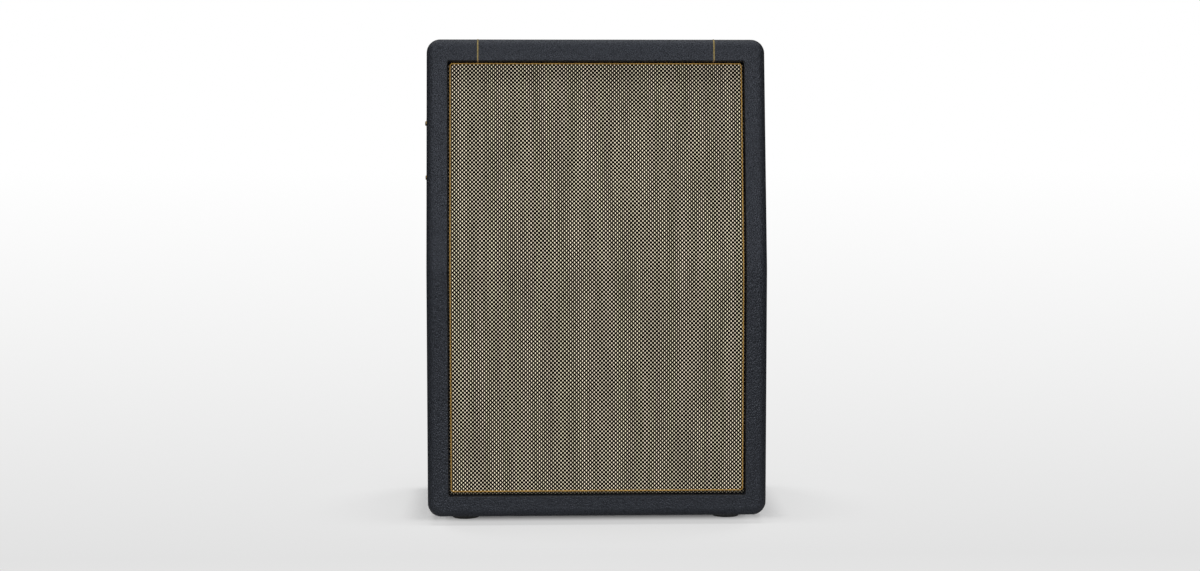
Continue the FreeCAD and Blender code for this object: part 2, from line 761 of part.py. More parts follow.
# Seam beads: a low domed bead swept over the boards from the front opening to the rear opening.
def seam_bead():
    body = new_body("seam_bead")
    spine = new_sketch(body, "YZ_Plane")
    lean = math.radians(value("slant_angle"))
    up = Vector(math.sin(lean), math.cos(lean), 0)
    front_turn = value("edge_radius - vinyl")
    rear_turn = value("rear_edge_radius - vinyl")
    start_along = f"({OPENING_TOP} + vinyl)"
    start = Vector(value(slant_y("vinyl", start_along)), value(slant_z("vinyl", start_along)), 0)
    corner_along = along_at(f"{TOP} - vinyl", "vinyl")
    corner = Vector(value(slant_y("vinyl", corner_along)), value(f"{TOP} - vinyl"), 0)
    half_turn = (math.pi / 2 - lean) / 2
    setback = front_turn * math.tan(half_turn)
    first = corner - up * setback
    second = corner + Vector(setback, 0, 0)
    centre = second - Vector(0, front_turn, 0)
    summit = centre + (corner - centre).normalize() * front_turn
    rear = value(f"{REAR} - vinyl")
    third = Vector(rear - rear_turn, corner.y, 0)
    fourth = Vector(rear, corner.y - rear_turn, 0)
    rear_centre = Vector(rear - rear_turn, corner.y - rear_turn, 0)
    rear_summit = rear_centre + Vector(1, 1, 0).normalize() * rear_turn
    last = Vector(rear, value(INNER_TOP), 0)
    spine.addGeometry(Part.LineSegment(start, first), False)
    spine.addGeometry(Part.Arc(first, summit, second), False)
    spine.addGeometry(Part.LineSegment(second, third), False)
    spine.addGeometry(Part.Arc(third, rear_summit, fourth), False)
    spine.addGeometry(Part.LineSegment(fourth, last), False)
    profile = body.newObject("Sketcher::SketchObject", "seam_profile")
    outward = Vector(0, -math.cos(lean), math.sin(lean))
    turn = Rotation(X_AXIS, outward, Vector(), "XYZ")
    profile.Placement = Placement(Vector(0, start.x, start.y), turn)
    half = value("seam_bead_width / 2")
    rise = value("vinyl + seam_bead_rise")
    profile.addGeometry(Part.LineSegment(Vector(-half, 0, 0), Vector(half, 0, 0)), False)
    profile.addGeometry(Part.LineSegment(Vector(half, 0, 0), Vector(half, value("vinyl"), 0)), False)
    dome = Part.Arc(Vector(half, value("vinyl"), 0), Vector(0, rise, 0), Vector(-half, value("vinyl"), 0))
    profile.addGeometry(dome, False)
    profile.addGeometry(Part.LineSegment(Vector(-half, value("vinyl"), 0), Vector(-half, 0, 0)), False)
    pipe = body.newObject("PartDesign::AdditivePipe", "seam_pipe")
    pipe.Profile = profile
    pipe.Spine = (spine, [])
    doc.recompute()
    place(body, f"-{SEAM}")
    return body


left_bead = node(seam_bead(), "seam_piping_left")
node(mirror(left_bead, "right_bead"), "seam_piping_right")


# Grille: a bent plywood frame, the cloth stretched over it and a bead laid round the cloth.
CLOTH_SIDE = f"({OPENING_SIDE} - grille_gap)"
CLOTH_BOTTOM = f"({OPENING_BOTTOM} + grille_gap)"
CLOTH_TOP = f"({OPENING_TOP} - grille_gap)"
CLOTH_BACK = "(cloth_recess + cloth)"


def grille_block(name, near, inset):
    """The grille's outline, rounded along its front edges."""
    body = front_slab(
        name,
        near,
        "frame_depth",
        f"{CLOTH_SIDE} - ({inset})",
        f"{CLOTH_BOTTOM} + ({inset})",
        f"{CLOTH_TOP} - ({inset})",
    )
    face = value(near) + bend_rise
    round_edges(
        body,
        f"cloth_edge_radius - ({inset})",
        lambda edge: depth_of(middle_of(edge)) < face + 0.01
        and (not runs_along(edge, X_AXIS) or abs(middle_of(edge).z - value(KINK)) > value("bend_radius")),
    )
    return body


cloth_block = grille_block("cloth_block", "cloth_recess", "0")
frame_block = grille_block("frame_block", CLOTH_BACK, "cloth")
node(combine("Cut", "cloth_skin", cloth_block, frame_block), "grille_cloth")
REACH = f"({CLOTH_SIDE} - cloth - grille_rail)"
windows = []
for name, low, high, upper in (
    ("lower_window", f"{CLOTH_BOTTOM} + cloth + grille_rail - {KINK}", "-grille_rail", False),
    ("upper_window", "grille_rail", f"{CLOTH_TOP} - cloth - grille_rail", True),
):
    window = new_body(name)
    hole = outline(window, "XZ_Plane", rectangle(f"-{REACH}", REACH, low, high))
    pad(window, hole, "4 * frame_depth", symmetric=True)
    windows.append(place(window, "0", FRONT, KINK, lean=upper))
both_windows = combine("MultiFuse", "grille_windows", *windows)
node(combine("Cut", "frame_rails", frame_block, both_windows), "grille_frame")


def bead_loop():
    """The bead's middle line round the grille, as lines and arcs in two planes."""
    depth = value("cloth_recess - bead / 2 - bead_gap")
    lean = math.radians(value("slant_angle"))
    side = value(f"{CLOTH_SIDE} - bead_inset_side")
    low = value(f"{CLOTH_BOTTOM} + bead_inset_bottom - {KINK}")
    high = value(f"{CLOTH_TOP} - bead_inset_top")
    turn = value("bead_corner")
    bend = value("bend_radius") - depth
    origin = Vector(0, value(FRONT), value(KINK))
    flat = (Vector(0, 1, 0), Vector(0, 0, 1))
    tilted = (Vector(0, math.cos(lean), -math.sin(lean)), Vector(0, math.sin(lean), math.cos(lean)))

    def spot(plane, x, along):
        return origin + plane[0] * depth + plane[1] * along + X_AXIS * x

    def corner(plane, x, along, sign_x, sign_along):
        centre = spot(plane, x - sign_x * turn, along - sign_along * turn)
        first = spot(plane, x, along - sign_along * turn)
        last = spot(plane, x - sign_x * turn, along)
        summit = centre + (X_AXIS * sign_x + plane[1] * sign_along).normalize() * turn
        return first, summit, last

    def bend_arc(x):
        reach = bend * math.tan(lean / 2)
        shift = depth * math.tan(lean / 2)
        first = spot(flat, x, -shift - reach)
        last = spot(tilted, x, shift + reach)
        centre = first + flat[0] * bend
        outward = (flat[0] + tilted[0]).normalize()
        return first, centre - outward * bend, last

    lower_right = corner(flat, side, low, 1, -1)
    lower_left = corner(flat, -side, low, -1, -1)
    upper_right = corner(tilted, side, high, 1, 1)
    upper_left = corner(tilted, -side, high, -1, 1)
    right_bend = bend_arc(side)
    left_bend = bend_arc(-side)
    edges = [
        Part.LineSegment(lower_left[2], lower_right[2]),
        Part.Arc(lower_right[2], lower_right[1], lower_right[0]),
        Part.LineSegment(lower_right[0], right_bend[0]),
        Part.Arc(*right_bend),
        Part.LineSegment(right_bend[2], upper_right[0]),
        Part.Arc(*upper_right),
        Part.LineSegment(upper_right[2], upper_left[2]),
        Part.Arc(upper_left[2], upper_left[1], upper_left[0]),
        Part.LineSegment(upper_left[0], left_bend[2]),
        Part.Arc(left_bend[2], left_bend[1], left_bend[0]),
        Part.LineSegment(left_bend[0], lower_left[0]),
        Part.Arc(*lower_left),
    ]
    return Part.Wire([edge.toShape() for edge in edges])


bead_path = bead_loop()
bead_start = bead_path.Edges[0]
bead_ring = Part.Wire(
    Part.makeCircle(
        value("bead / 2"),
        bead_start.valueAt(bead_start.FirstParameter),
        bead_start.tangentAt(bead_start.FirstParameter),
    )
)
node(group("grille_bead", bead_path.makePipeShell([bead_ring], True, False)), "grille_piping")


# Screws: one turned shape, set in groups at the places of their holes.
def screw(length, head="screw_head", rise="screw_rise"):
    """A screw whose head's underside lies at the origin and whose shank runs along +Z."""
    shank = Part.makeCylinder(value("screw_radius"), length)
    height = value(rise)
    crown = Part.makeCone(value(head) / 2, value(head), height, Vector(0, 0, -height))
    return crown.fuse(shank).removeSplitter()


def set_screws(name, shape, places):
    """Copies of a screw; each place is a point and the direction of the shank."""
    copies = []
    for point, direction in places:
        copy = shape.copy()
        copy.Placement = Placement(point, Rotation(Z_AXIS, direction))
        copies.append(copy)
    return node(group(name, Part.makeCompound(copies)), name)


# Recessed handles: a moulded flange and cup, with a lip at the top for the fingers.
def handle():
    body = new_body("handle")
    flange = outline(
        body,
        "YZ_Plane",
        rectangle("-handle_length / 2", "handle_length / 2", "-handle_width / 2", "handle_width / 2"),
    )
    pad(body, flange, "handle_flange", reverse=True)
    round_edges(body, "handle_corner", lambda edge: runs_along(edge, X_AXIS))
    cup = outline(
        body,
        "YZ_Plane",
        rectangle("-cup_length / 2", "cup_length / 2", "-cup_width / 2", "cup_width / 2"),
    )
    pad(body, cup, "cup_depth")
    cup_end = value("cup_depth")
    round_edges(
        body,
        "cup_corner",
        lambda edge: runs_along(edge, X_AXIS) and edge.BoundBox.XMax > cup_end - 0.01,
    )
    room = "cup_length / 2 - cup_wall"
    inside = rectangle(f"-({room})", room, "-cup_width / 2 + cup_wall", "cup_width / 2 - cup_wall")
    cavity = outline(body, "YZ_Plane", inside, offset="grip_lip_depth")
    pocket(body, cavity, "cup_depth - cup_wall - grip_lip_depth", reverse=True)
    mouth = rectangle(f"-({room})", room, "-cup_width / 2 + cup_wall", "cup_width / 2 - cup_wall - grip_lip")
    entry = outline(body, "YZ_Plane", mouth)
    pocket(body, entry, "2 * (cup_depth - cup_wall)", symmetric=True)
    outer = value("-handle_flange")
    round_edges(
        body,
        "handle_flange / 2",
        lambda edge: abs(edge.BoundBox.XMin - outer) < 0.01 and abs(edge.BoundBox.XMax - outer) < 0.01,
    )
    pocket(
        body,
        circles(
            body,
            "YZ_Plane",
            [
                (f"{along} * handle_screw_length / 2", f"{up} * handle_screw_width / 2")
                for along in (-1, 1)
                for up in (-1, 1)
            ],
            f"2 * {HOLE}",
        ),
        symmetric=True,
    )
    place(body, "-width / 2", "handle_back", HANDLE)
    return body


left_handle = node(handle(), "handle_left")
node(mirror(left_handle, "right_handle"), "handle_right")
handle_screw = screw(value("handle_flange + vinyl + screw_bite"))
set_screws(
    "handle_screws",
    handle_screw,
    [
        (
            Vector(
                side * value("width / 2 + handle_flange"),
                value("handle_back") + along * value("handle_screw_length / 2"),
                value(HANDLE) + up * value("handle_screw_width / 2"),
            ),
            Vector(-side, 0, 0),
        )
        for side in (-1, 1)
        for along in (-1, 1)
        for up in (-1, 1)
    ],
)


# Rubber feet, each with a washer and a screw in a recess.
for name, (foot_x, foot_y) in zip(
    ("foot_front_left", "foot_front_right", "foot_rear_left", "foot_rear_right"), foot_places
):
    foot = new_body(f"{name}_body")
    side = [
        (HOLE, BASE),
        ("foot_radius", BASE),
        ("foot_radius", f"{BASE} - foot_rim"),
        ("foot_radius - foot_taper", "foot_chamfer"),
        ("foot_radius - foot_taper - foot_chamfer", "0"),
        ("foot_recess_radius", "0"),
        ("foot_recess_radius", "foot_recess"),
        (HOLE, "foot_recess"),
    ]
    revolve(foot, outline(foot, "XZ_Plane", side), "Z_Axis")
    place(foot, foot_x, foot_y)
    node(foot, name)
foot_points = [Vector(value(x), value(y), value("foot_recess")) for x, y in foot_places]
ring = Part.makeCylinder(value("foot_recess_radius - pilot_gap"), value("washer"))
ring = ring.cut(Part.makeCylinder(value(HOLE), value("washer")))
set_screws("foot_washers", ring, [(point, Vector(0, 0, -1)) for point in foot_points])
foot_screw = screw(value("washer + foot_height - foot_recess + vinyl + screw_bite"))
set_screws(
    "foot_screws",
    foot_screw,
    [(point - Z_AXIS * value("washer"), Z_AXIS) for point in foot_points],
)


# Back: battens glued inside the shell and a panel screwed to them in the rear recess.
BATTEN_REAR = f"({REAR} - {BACK_SEAT})"
BATTEN_FRONT = f"({REAR} - {BACK_SEAT} - batten)"
batten_left = box(
    "batten_left",
    (f"-{INNER_SIDE}", f"-{INNER_SIDE} + batten"),
    (BATTEN_FRONT, BATTEN_REAR),
    (INNER_BOTTOM, INNER_TOP),
)
batten_right = mirror(batten_left, "batten_right")
batten_span = (f"-{INNER_SIDE} + batten", f"{INNER_SIDE} - batten")
batten_top = box(
    "batten_top", batten_span, (BATTEN_FRONT, BATTEN_REAR), (f"{INNER_TOP} - batten", INNER_TOP)
)
batten_bottom = box(
    "batten_bottom", batten_span, (BATTEN_FRONT, BATTEN_REAR), (INNER_BOTTOM, f"{INNER_BOTTOM} + batten")
)

BACK_SIDE = f"({INNER_SIDE} - vinyl - back_gap)"
BACK_LOW = f"({INNER_BOTTOM} + vinyl + back_gap)"
BACK_HIGH = f"({INNER_TOP} - vinyl - back_gap)"
BACK_MIDDLE = f"(({BACK_LOW} + {BACK_HIGH}) / 2)"
edge_x = f"({BACK_SIDE} - back_screw_inset)"
edge_low = f"({BACK_LOW} + back_screw_inset)"
edge_high = f"({BACK_HIGH} - back_screw_inset)"
back_heights = (edge_low, BACK_MIDDLE, edge_high)
back_places = [(f"{side} * {edge_x}", height) for side in (-1, 1) for height in back_heights]
back_places += [("0", edge_low), ("0", edge_high)]
back_holes = new_body("back_holes")
back_holes.AllowCompound = True
pad(
    back_holes,
    circles(back_holes, "XZ_Plane", back_places, f"2 * {HOLE}"),
    "2 * (back_board + screw_bite + pilot_gap)",
    symmetric=True,
)
place(back_holes, "0", BATTEN_REAR)
drilled = [
    combine("Cut", f"{batten.Name}_drilled", batten, back_holes)
    for batten in (batten_left, batten_right, batten_top, batten_bottom)
]
battens = doc.addObject("Part::Compound", "battens")
battens.Links = drilled
doc.recompute()
node(battens, "back_battens")

back_blank = box("back_blank", (f"-{BACK_SIDE}", BACK_SIDE), (BATTEN_REAR, BACK_FACE), (BACK_LOW, BACK_HIGH))
dish_hole = new_body("dish_hole")
pad(
    dish_hole,
    circles(dish_hole, "XZ_Plane", [("0", "0")], "2 * (dish_radius + cup_gap)"),
    "4 * back_board",
    symmetric=True,
)
place(dish_hole, "0", BACK_FACE, JACK)
back_tools = combine("MultiFuse", "back_tools", back_holes, dish_hole)
node(combine("Cut", "back_cut", back_blank, back_tools), "back_panel")

back_points = [Vector(value(x), value(BACK_FACE), value(z)) for x, z in back_places]
cup_height = value("cup_washer_height")
cup_washer = Part.makeCone(value("cup_washer_radius"), value("screw_head"), cup_height)
cup_washer = cup_washer.cut(Part.makeCylinder(value(HOLE), cup_height))
set_screws("back_cup_washers", cup_washer, [(point, Y_AXIS) for point in back_points])
set_screws(
    "back_panel_screws",
    screw(value("cup_washer_height + back_board + screw_bite")),
    [(point + Y_AXIS * cup_height, -Y_AXIS) for point in back_points],
)


# Jack: a moulded round dish in the back panel, with the socket and its nut on the dish's floor.
dish = new_body("dish")
DISH_FLOOR = "(dish_wall - dish_depth)"
NUT_FACE = f"({DISH_FLOOR} + jack_nut_height)"
dish_side = [
    ("jack_bush / 2 + pilot_gap", "-dish_depth"),
    ("dish_radius - dish_wall", "-dish_depth"),
    ("dish_radius", "0"),
    ("dish_flange", "0"),
    ("dish_flange", "dish_wall / 2"),
    ("dish_flange - dish_wall / 2", "dish_wall"),
    ("dish_radius - dish_wall / 2", "dish_wall"),
    ("dish_radius - 2 * dish_wall", DISH_FLOOR),
    ("jack_bush / 2 + pilot_gap", DISH_FLOOR),
]
revolve(dish, outline(dish, "XY_Plane", dish_side), "Y_Axis")
place(dish, "0", BACK_FACE, JACK)
node(dish, "jack_dish")

jack = new_body("jack")
JACK_MOUTH = f"({NUT_FACE} + pilot_gap)"
JACK_END = f"({JACK_MOUTH} - jack_length)"
jack_side = [
    ("jack_bore / 2", JACK_MOUTH),
    ("jack_bush / 2", JACK_MOUTH),
    ("jack_bush / 2", "-dish_depth"),
    ("jack_body / 2", "-dish_depth"),
    ("jack_body / 2", f"{JACK_END} - dish_wall"),
    ("0", f"{JACK_END} - dish_wall"),
    ("0", JACK_END),
    ("jack_bore / 2", JACK_END),
]
revolve(jack, outline(jack, "XY_Plane", jack_side), "Y_Axis")
place(jack, "0", BACK_FACE, JACK)
node(jack, "jack_socket")

nut = new_body("nut")
corner = "jack_nut / 2 / cos(30)"
hexagon = [(f"{corner} * cos({turn})", f"{corner} * sin({turn})") for turn in range(0, 360, 60)]
pad(nut, outline(nut, "XZ_Plane", hexagon), "jack_nut_height", reverse=True)
pocket(nut, circles(nut, "XZ_Plane", [("0", "0")], "jack_bush + 2 * pilot_gap"), symmetric=True)
place(nut, "0", f"{BACK_FACE} + {DISH_FLOOR}", JACK)
node(nut, "jack_nut")


# Speakers: each is built about its own axis, with the baffle's back face at y = 0.
FLANGE_BACK = "(gasket + steel)"
LANDING = f"({FLANGE} - flange_width)"
SHELF_RADIUS = f"({LANDING} - basket_depth)"
NECK = f"({SHELF_RADIUS} - shelf_width)"
CONE = f"({LANDING} - surround_width)"
WINDOW_INNER = f"({SHELF_RADIUS} + window_margin)"
WINDOW_OUTER = f"({LANDING} - window_margin)"
SHELF = "(gasket + basket_depth)"
NECK_END = f"({SHELF} + neck_depth)"
PLATE_FRONT = f"({NECK_END} + steel)"
PLATE_BACK = f"({PLATE_FRONT} + plate)"
MAGNET_BACK = f"({PLATE_BACK} + magnet_height)"
CONE_EDGE = "(gasket + cone_front)"
CONE_NECK = "(gasket + cone_front + cone_depth)"
BEVEL = "(steel * (sqrt(2) - 1))"
COIL_MIDDLE = f"({PLATE_FRONT} + plate / 2)"
COIL_END = f"({COIL_MIDDLE} + winding_length / 2)"
POLE = "(coil_radius - former - coil_gap)"


def cone_at(radius):
    """Front face of the cone at a radius."""
    return f"({CONE_EDGE} + cone_depth * ({CONE} - ({radius})) / ({CONE} - coil_radius))"


def turned(name, side, arcs=None):
    """A body turned about the speaker's axis."""
    body = new_body(name)
    revolve(body, outline(body, "XY_Plane", side, arcs), "Y_Axis")
    return body


def corrugated(outer, inner, start, end, waves):
    """Upper line of a corrugated ring, from its outer to its inner edge."""
    points = []
    steps = 2 * waves
    for step in range(steps + 1):
        share = step / steps
        swing = 0 if step in (0, steps) else (-1) ** step
        points.append(
            (
                f"({outer}) + (({inner}) - ({outer})) * {share}",
                f"({start}) + (({end}) - ({start})) * {share} + paper * {swing}",
            )
        )
    return points


def ring_of(points):
    """A closed outline of the paper's thickness behind a line of points."""
    return points + [(radius, f"({y}) + paper") for radius, y in reversed(points)]


def speaker(name, upper):
    if upper:
        middle = (slant_y(BAFFLE_BACK, SPEAKER_MIDDLE), slant_z(BAFFLE_BACK, SPEAKER_MIDDLE))
    else:
        middle = (f"{FRONT} + {BAFFLE_BACK}", f"{KINK} - {SPEAKER_MIDDLE}")

    def add(body, part):
        place(body, "0", middle[0], middle[1], lean=upper)
        return node(body, f"{name}_{part}")

    bolt_places = [(f"{BOLTS} * sin({angle})", f"{BOLTS} * cos({angle})") for angle in SCREW_ANGLES]

    basket = turned(
        f"{name}_basket_body",
        [
            (FLANGE, "gasket"),
            (FLANGE, FLANGE_BACK),
            (f"{LANDING} + {BEVEL}", FLANGE_BACK),
            (f"{SHELF_RADIUS} + {BEVEL}", f"{SHELF} + steel"),
            (f"{NECK} + steel", f"{SHELF} + steel"),
            (f"{NECK} + steel", PLATE_FRONT),
            ("magnet_bore", PLATE_FRONT),
            ("magnet_bore", NECK_END),
            (NECK, NECK_END),
            (NECK, SHELF),
            (SHELF_RADIUS, SHELF),
            (LANDING, "gasket"),
        ],
    )
    window = outline(
        basket,
        "XZ_Plane",
        [
            (f"{WINDOW_INNER} * cos(window_angle)", f"-{WINDOW_INNER} * sin(window_angle)"),
            (f"{WINDOW_OUTER} * cos(window_angle)", f"-{WINDOW_OUTER} * sin(window_angle)"),
            (f"{WINDOW_OUTER} * cos(window_angle)", f"{WINDOW_OUTER} * sin(window_angle)"),
            (f"{WINDOW_INNER} * cos(window_angle)", f"{WINDOW_INNER} * sin(window_angle)"),
        ],
        {1: (WINDOW_OUTER, -1)},
    )
    first_window = pocket(basket, window, symmetric=True)
    pattern_round(basket, first_window, "Y_Axis", 6)
    pocket(basket, circles(basket, "XZ_Plane", bolt_places, f"2 * {HOLE}"), symmetric=True)
    add(basket, "basket")

    gasket_ring = turned(
        f"{name}_gasket_body",
        rectangle(CUTOUT, FLANGE, "0", "gasket"),
    )
    pocket(gasket_ring, circles(gasket_ring, "XZ_Plane", bolt_places, f"2 * {HOLE}"), symmetric=True)
    add(gasket_ring, "gasket")

    surround_line = [(f"{LANDING} + surround_land", "gasket - paper"), (LANDING, "gasket - paper")]
    surround_line += corrugated(LANDING, CONE, "gasket - paper", CONE_EDGE, 2)[1:]
    add(turned(f"{name}_surround_body", ring_of(surround_line)), "surround")

    cone = turned(
        f"{name}_cone_body",
        [
            (CONE, CONE_EDGE),
            (CONE, f"{CONE_EDGE} + paper"),
            ("coil_radius", f"{CONE_NECK} + paper"),
            ("coil_radius", CONE_NECK),
        ],
    )
    add(cone, "cone")

    cap_ball = "((cap_radius ^ 2 + cap_rise ^ 2) / (2 * cap_rise))"
    cap_edge = cone_at("cap_radius")
    cap = turned(
        f"{name}_cap_body",
        [
            ("cap_radius", cap_edge),
            ("0", f"{cap_edge} - cap_rise"),
            ("0", f"{cap_edge} - cap_rise + paper"),
            ("cap_radius - paper", cap_edge),
        ],
        {0: (cap_ball, 1), 2: (f"{cap_ball} - paper", -1)},
    )
    add(cap, "dust_cap")

    coil = turned(
        f"{name}_coil_body",
        [
            ("coil_radius - former", CONE_NECK),
            ("coil_radius", CONE_NECK),
            ("coil_radius", f"{COIL_MIDDLE} - winding_length / 2"),
            ("coil_radius + winding", f"{COIL_MIDDLE} - winding_length / 2"),
            ("coil_radius + winding", COIL_END),
            ("coil_radius - former", COIL_END),
        ],
    )
    add(coil, "voice_coil")

    spider_line = [(SHELF_RADIUS, f"{SHELF} - paper")]
    spider_line += corrugated(NECK, "coil_radius", f"{SHELF} - paper", f"{SHELF} + spider_rise", 4)
    add(turned(f"{name}_spider_body", ring_of(spider_line)), "spider")

    front_plate = turned(
        f"{name}_plate_body",
        rectangle("coil_radius + winding + coil_gap", "plate_radius", PLATE_FRONT, PLATE_BACK),
    )
    place(front_plate, "0", middle[0], middle[1], lean=upper)
    yoke = turned(
        f"{name}_yoke_body",
        [
            ("vent_radius", PLATE_FRONT),
            (POLE, PLATE_FRONT),
            (POLE, MAGNET_BACK),
            ("yoke_radius", MAGNET_BACK),
            ("yoke_radius", f"{MAGNET_BACK} + plate"),
            ("vent_radius", f"{MAGNET_BACK} + plate"),
        ],
    )
    place(yoke, "0", middle[0], middle[1], lean=upper)
    plates = doc.addObject("Part::Compound", f"{name}_plates")
    plates.Links = [front_plate, yoke]
    doc.recompute()
    node(plates, f"{name}_motor_plates")
    magnet = turned(
        f"{name}_magnet_body", rectangle("magnet_bore", "magnet_radius", PLATE_BACK, MAGNET_BACK)
    )
    add(magnet, "magnet")

    # The terminal board lies on the spider's shelf, on the side towards the other speaker.
    board = new_body(f"{name}_terminal_body")
    half = "terminal_length / 2"
    side = -1 if upper else 1
    near = f"{side} * ({NECK} + 2 * steel)"
    far = f"{side} * ({SHELF_RADIUS} - steel)"
    low, high = (far, near) if upper else (near, far)
    shelf_back = f"-{SHELF} - steel"
    pad(board, outline(board, "XZ_Plane", rectangle(f"-{half}", half, low, high), offset=shelf_back),
        "terminal_board", reverse=True)
    tip = f"{side} * ({SHELF_RADIUS} + tab_reach)"
    low, high = (tip, near) if upper else (near, tip)
    for place_x in (-1, 1):
        middle_x = f"{place_x} * terminal_length / 4"
        tab = rectangle(f"{middle_x} - tab_width / 2", f"{middle_x} + tab_width / 2", low, high)
        pad(board, outline(board, "XZ_Plane", tab, offset=f"{shelf_back} - terminal_board"),
            "tab", reverse=True)
    add(board, "terminals")


speaker("upper", True)
speaker("lower", False)

upright = Rotation()
leaning = Rotation(Vector(-1, 0, 0), value("slant_angle"))
speaker_frames = [
    Placement(Vector(0, value(f"{FRONT} + {BAFFLE_BACK}"), value(f"{KINK} - {SPEAKER_MIDDLE}")), upright),
    Placement(
        Vector(
            0,
            value(slant_y(BAFFLE_BACK, SPEAKER_MIDDLE)),
            value(slant_z(BAFFLE_BACK, SPEAKER_MIDDLE)),
        ),
        leaning,
    ),
]
bolt_points = []
for frame in speaker_frames:
    for angle in SCREW_ANGLES:
        turn = math.radians(angle)
        reach = value(BOLTS)
        spot = Vector(reach * math.sin(turn), value(FLANGE_BACK), reach * math.cos(turn))
        bolt_points.append((frame.multVec(spot), frame.Rotation.multVec(-Y_AXIS)))
set_screws("speaker_screws", screw(value(f"{FLANGE_BACK} + screw_bite")), bolt_points)


# Speaker leads: one from the jack to each speaker's terminals, hanging in a shallow sag.
ARC_SHARE = 0.45


def lead(name, points):
    """A round lead along straight runs joined by tangent arcs, each as large as its runs allow."""
    edges = []
    radii = []
    last = points[0]
    for before, corner_point, after in zip(points, points[1:], points[2:]):
        cut = ARC_SHARE * min(before.distanceToPoint(corner_point), corner_point.distanceToPoint(after))
        inward = (corner_point - before).normalize()
        outward = (after - corner_point).normalize()
        bend = inward.getAngle(outward)
        turn = cut / math.tan(bend / 2)
        radii.append(round(turn))
        first = corner_point - inward * cut
        second = corner_point + outward * cut
        centre = corner_point + (outward - inward).normalize() * (turn / math.cos(bend / 2))
        summit = centre + (corner_point - centre).normalize() * turn
        edges.append(Part.LineSegment(last, first).toShape())
        edges.append(Part.Arc(first, summit, second).toShape())
        last = second
    edges.append(Part.LineSegment(last, points[-1]).toShape())
    path = Part.Wire(edges)
    print(f"{name}: bends of {radii} mm")
    circle = Part.makeCircle(value("lead_diameter / 2"), points[0], points[1] - points[0])
    return node(group(name, path.makePipeShell([Part.Wire(circle)], True, False)), name)


jack_end = Vector(0, value(f"{BACK_FACE} + {JACK_END} - dish_wall - pilot_gap"), value(JACK))
lead_apart = Z_AXIS * value("lead_spacing")
tag_y = value(f"{SHELF} + steel + terminal_board + tab / 2")
tag_z = value(f"{SHELF_RADIUS} + tab_reach + pilot_gap")
lower_frame, upper_frame = speaker_frames
lower_tag = lower_frame.multVec(Vector(0, tag_y, tag_z))
upper_tag = upper_frame.multVec(Vector(0, tag_y, -tag_z))
lower_down = lower_frame.Rotation.multVec(Z_AXIS)
upper_down = upper_frame.Rotation.multVec(-Z_AXIS)
lead(
    "speaker_lead_lower",
    [
        jack_end - lead_apart,
        jack_end - lead_apart + Vector(0, -35, 0),
        jack_end - lead_apart + Vector(0, -115, -28),
        lower_tag + lower_down * 45,
        lower_tag,
    ],
)
lead(
    "speaker_lead_upper",
    [
        jack_end + lead_apart,
        jack_end + lead_apart + Vector(0, -35, 0),
        jack_end + lead_apart + Vector(0, -115, -20),
        upper_tag + upper_down * 55,
        upper_tag,
    ],
)


# Every object is checked, then each sub-part is written to its own file.
doc.recompute()
for thing in doc.Objects:
    faults = [state for state in thing.State if state in ("Invalid", "Error")]
    if faults:
        raise RuntimeError(f"{thing.Label} did not build: {faults}")
os.makedirs("parts", exist_ok=True)
for thing in nodes:
    shape = thing.Shape
    if shape.isNull() or not shape.isValid() or not shape.Solids:
        raise RuntimeError(f"{thing.Label} has no valid solid")
    shape.exportStep(f"parts/{thing.Label}.step")
    print(f"{thing.Label}: {len(shape.Solids)} solids, {shape.Volume / 1000:.2f} cm3")
print(f"{len(nodes)} sub-parts")
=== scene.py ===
import json
import math

import bmesh
import bpy
from mathutils import Matrix, Vector


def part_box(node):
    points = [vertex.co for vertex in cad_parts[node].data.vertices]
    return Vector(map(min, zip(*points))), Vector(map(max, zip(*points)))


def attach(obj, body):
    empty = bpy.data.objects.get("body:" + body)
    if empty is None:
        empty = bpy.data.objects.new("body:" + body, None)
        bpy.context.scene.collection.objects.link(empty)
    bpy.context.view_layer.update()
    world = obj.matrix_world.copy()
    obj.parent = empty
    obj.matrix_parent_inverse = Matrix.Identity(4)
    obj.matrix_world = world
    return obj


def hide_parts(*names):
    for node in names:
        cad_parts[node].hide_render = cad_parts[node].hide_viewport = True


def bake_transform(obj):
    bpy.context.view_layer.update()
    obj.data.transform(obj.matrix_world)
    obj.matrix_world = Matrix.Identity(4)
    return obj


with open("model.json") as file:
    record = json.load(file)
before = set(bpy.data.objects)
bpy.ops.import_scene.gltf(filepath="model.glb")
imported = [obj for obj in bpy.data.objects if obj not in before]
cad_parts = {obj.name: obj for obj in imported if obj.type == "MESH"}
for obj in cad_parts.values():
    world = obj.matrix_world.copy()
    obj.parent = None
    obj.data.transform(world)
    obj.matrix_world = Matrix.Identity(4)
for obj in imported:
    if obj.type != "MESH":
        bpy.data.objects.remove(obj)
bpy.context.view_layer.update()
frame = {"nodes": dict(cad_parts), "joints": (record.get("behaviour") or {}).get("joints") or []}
bpy.ops.object.select_all(action="DESELECT")


# Shell: four birch plywood boards, finger-jointed and glued at the corners, with four strips glued
# inside the front edge and battens at the back. The covering hides the outside of the boards, and
# the inside stays bare wood.
def new_finish(name, plain):
    """A material and its shader; plain holds the shader's values that are the same all over."""
    finish = bpy.data.materials.new(name)
    finish.use_nodes = True
    shader = finish.node_tree.nodes["Principled BSDF"]
    for label, value in plain.items():
        shader.inputs[label].default_value = value
    return finish, finish.node_tree, shader


def add(tree, kind, inputs=None, **settings):
    """A node of a tree; each input is a plain value or another node's socket."""
    node = tree.nodes.new(f"ShaderNode{kind}")
    for label, setting in settings.items():
        setattr(node, label, setting)
    for label, source in (inputs or {}).items():
        if isinstance(source, bpy.types.NodeSocket):
            tree.links.new(source, node.inputs[label])
        else:
            node.inputs[label].default_value = source
    return node


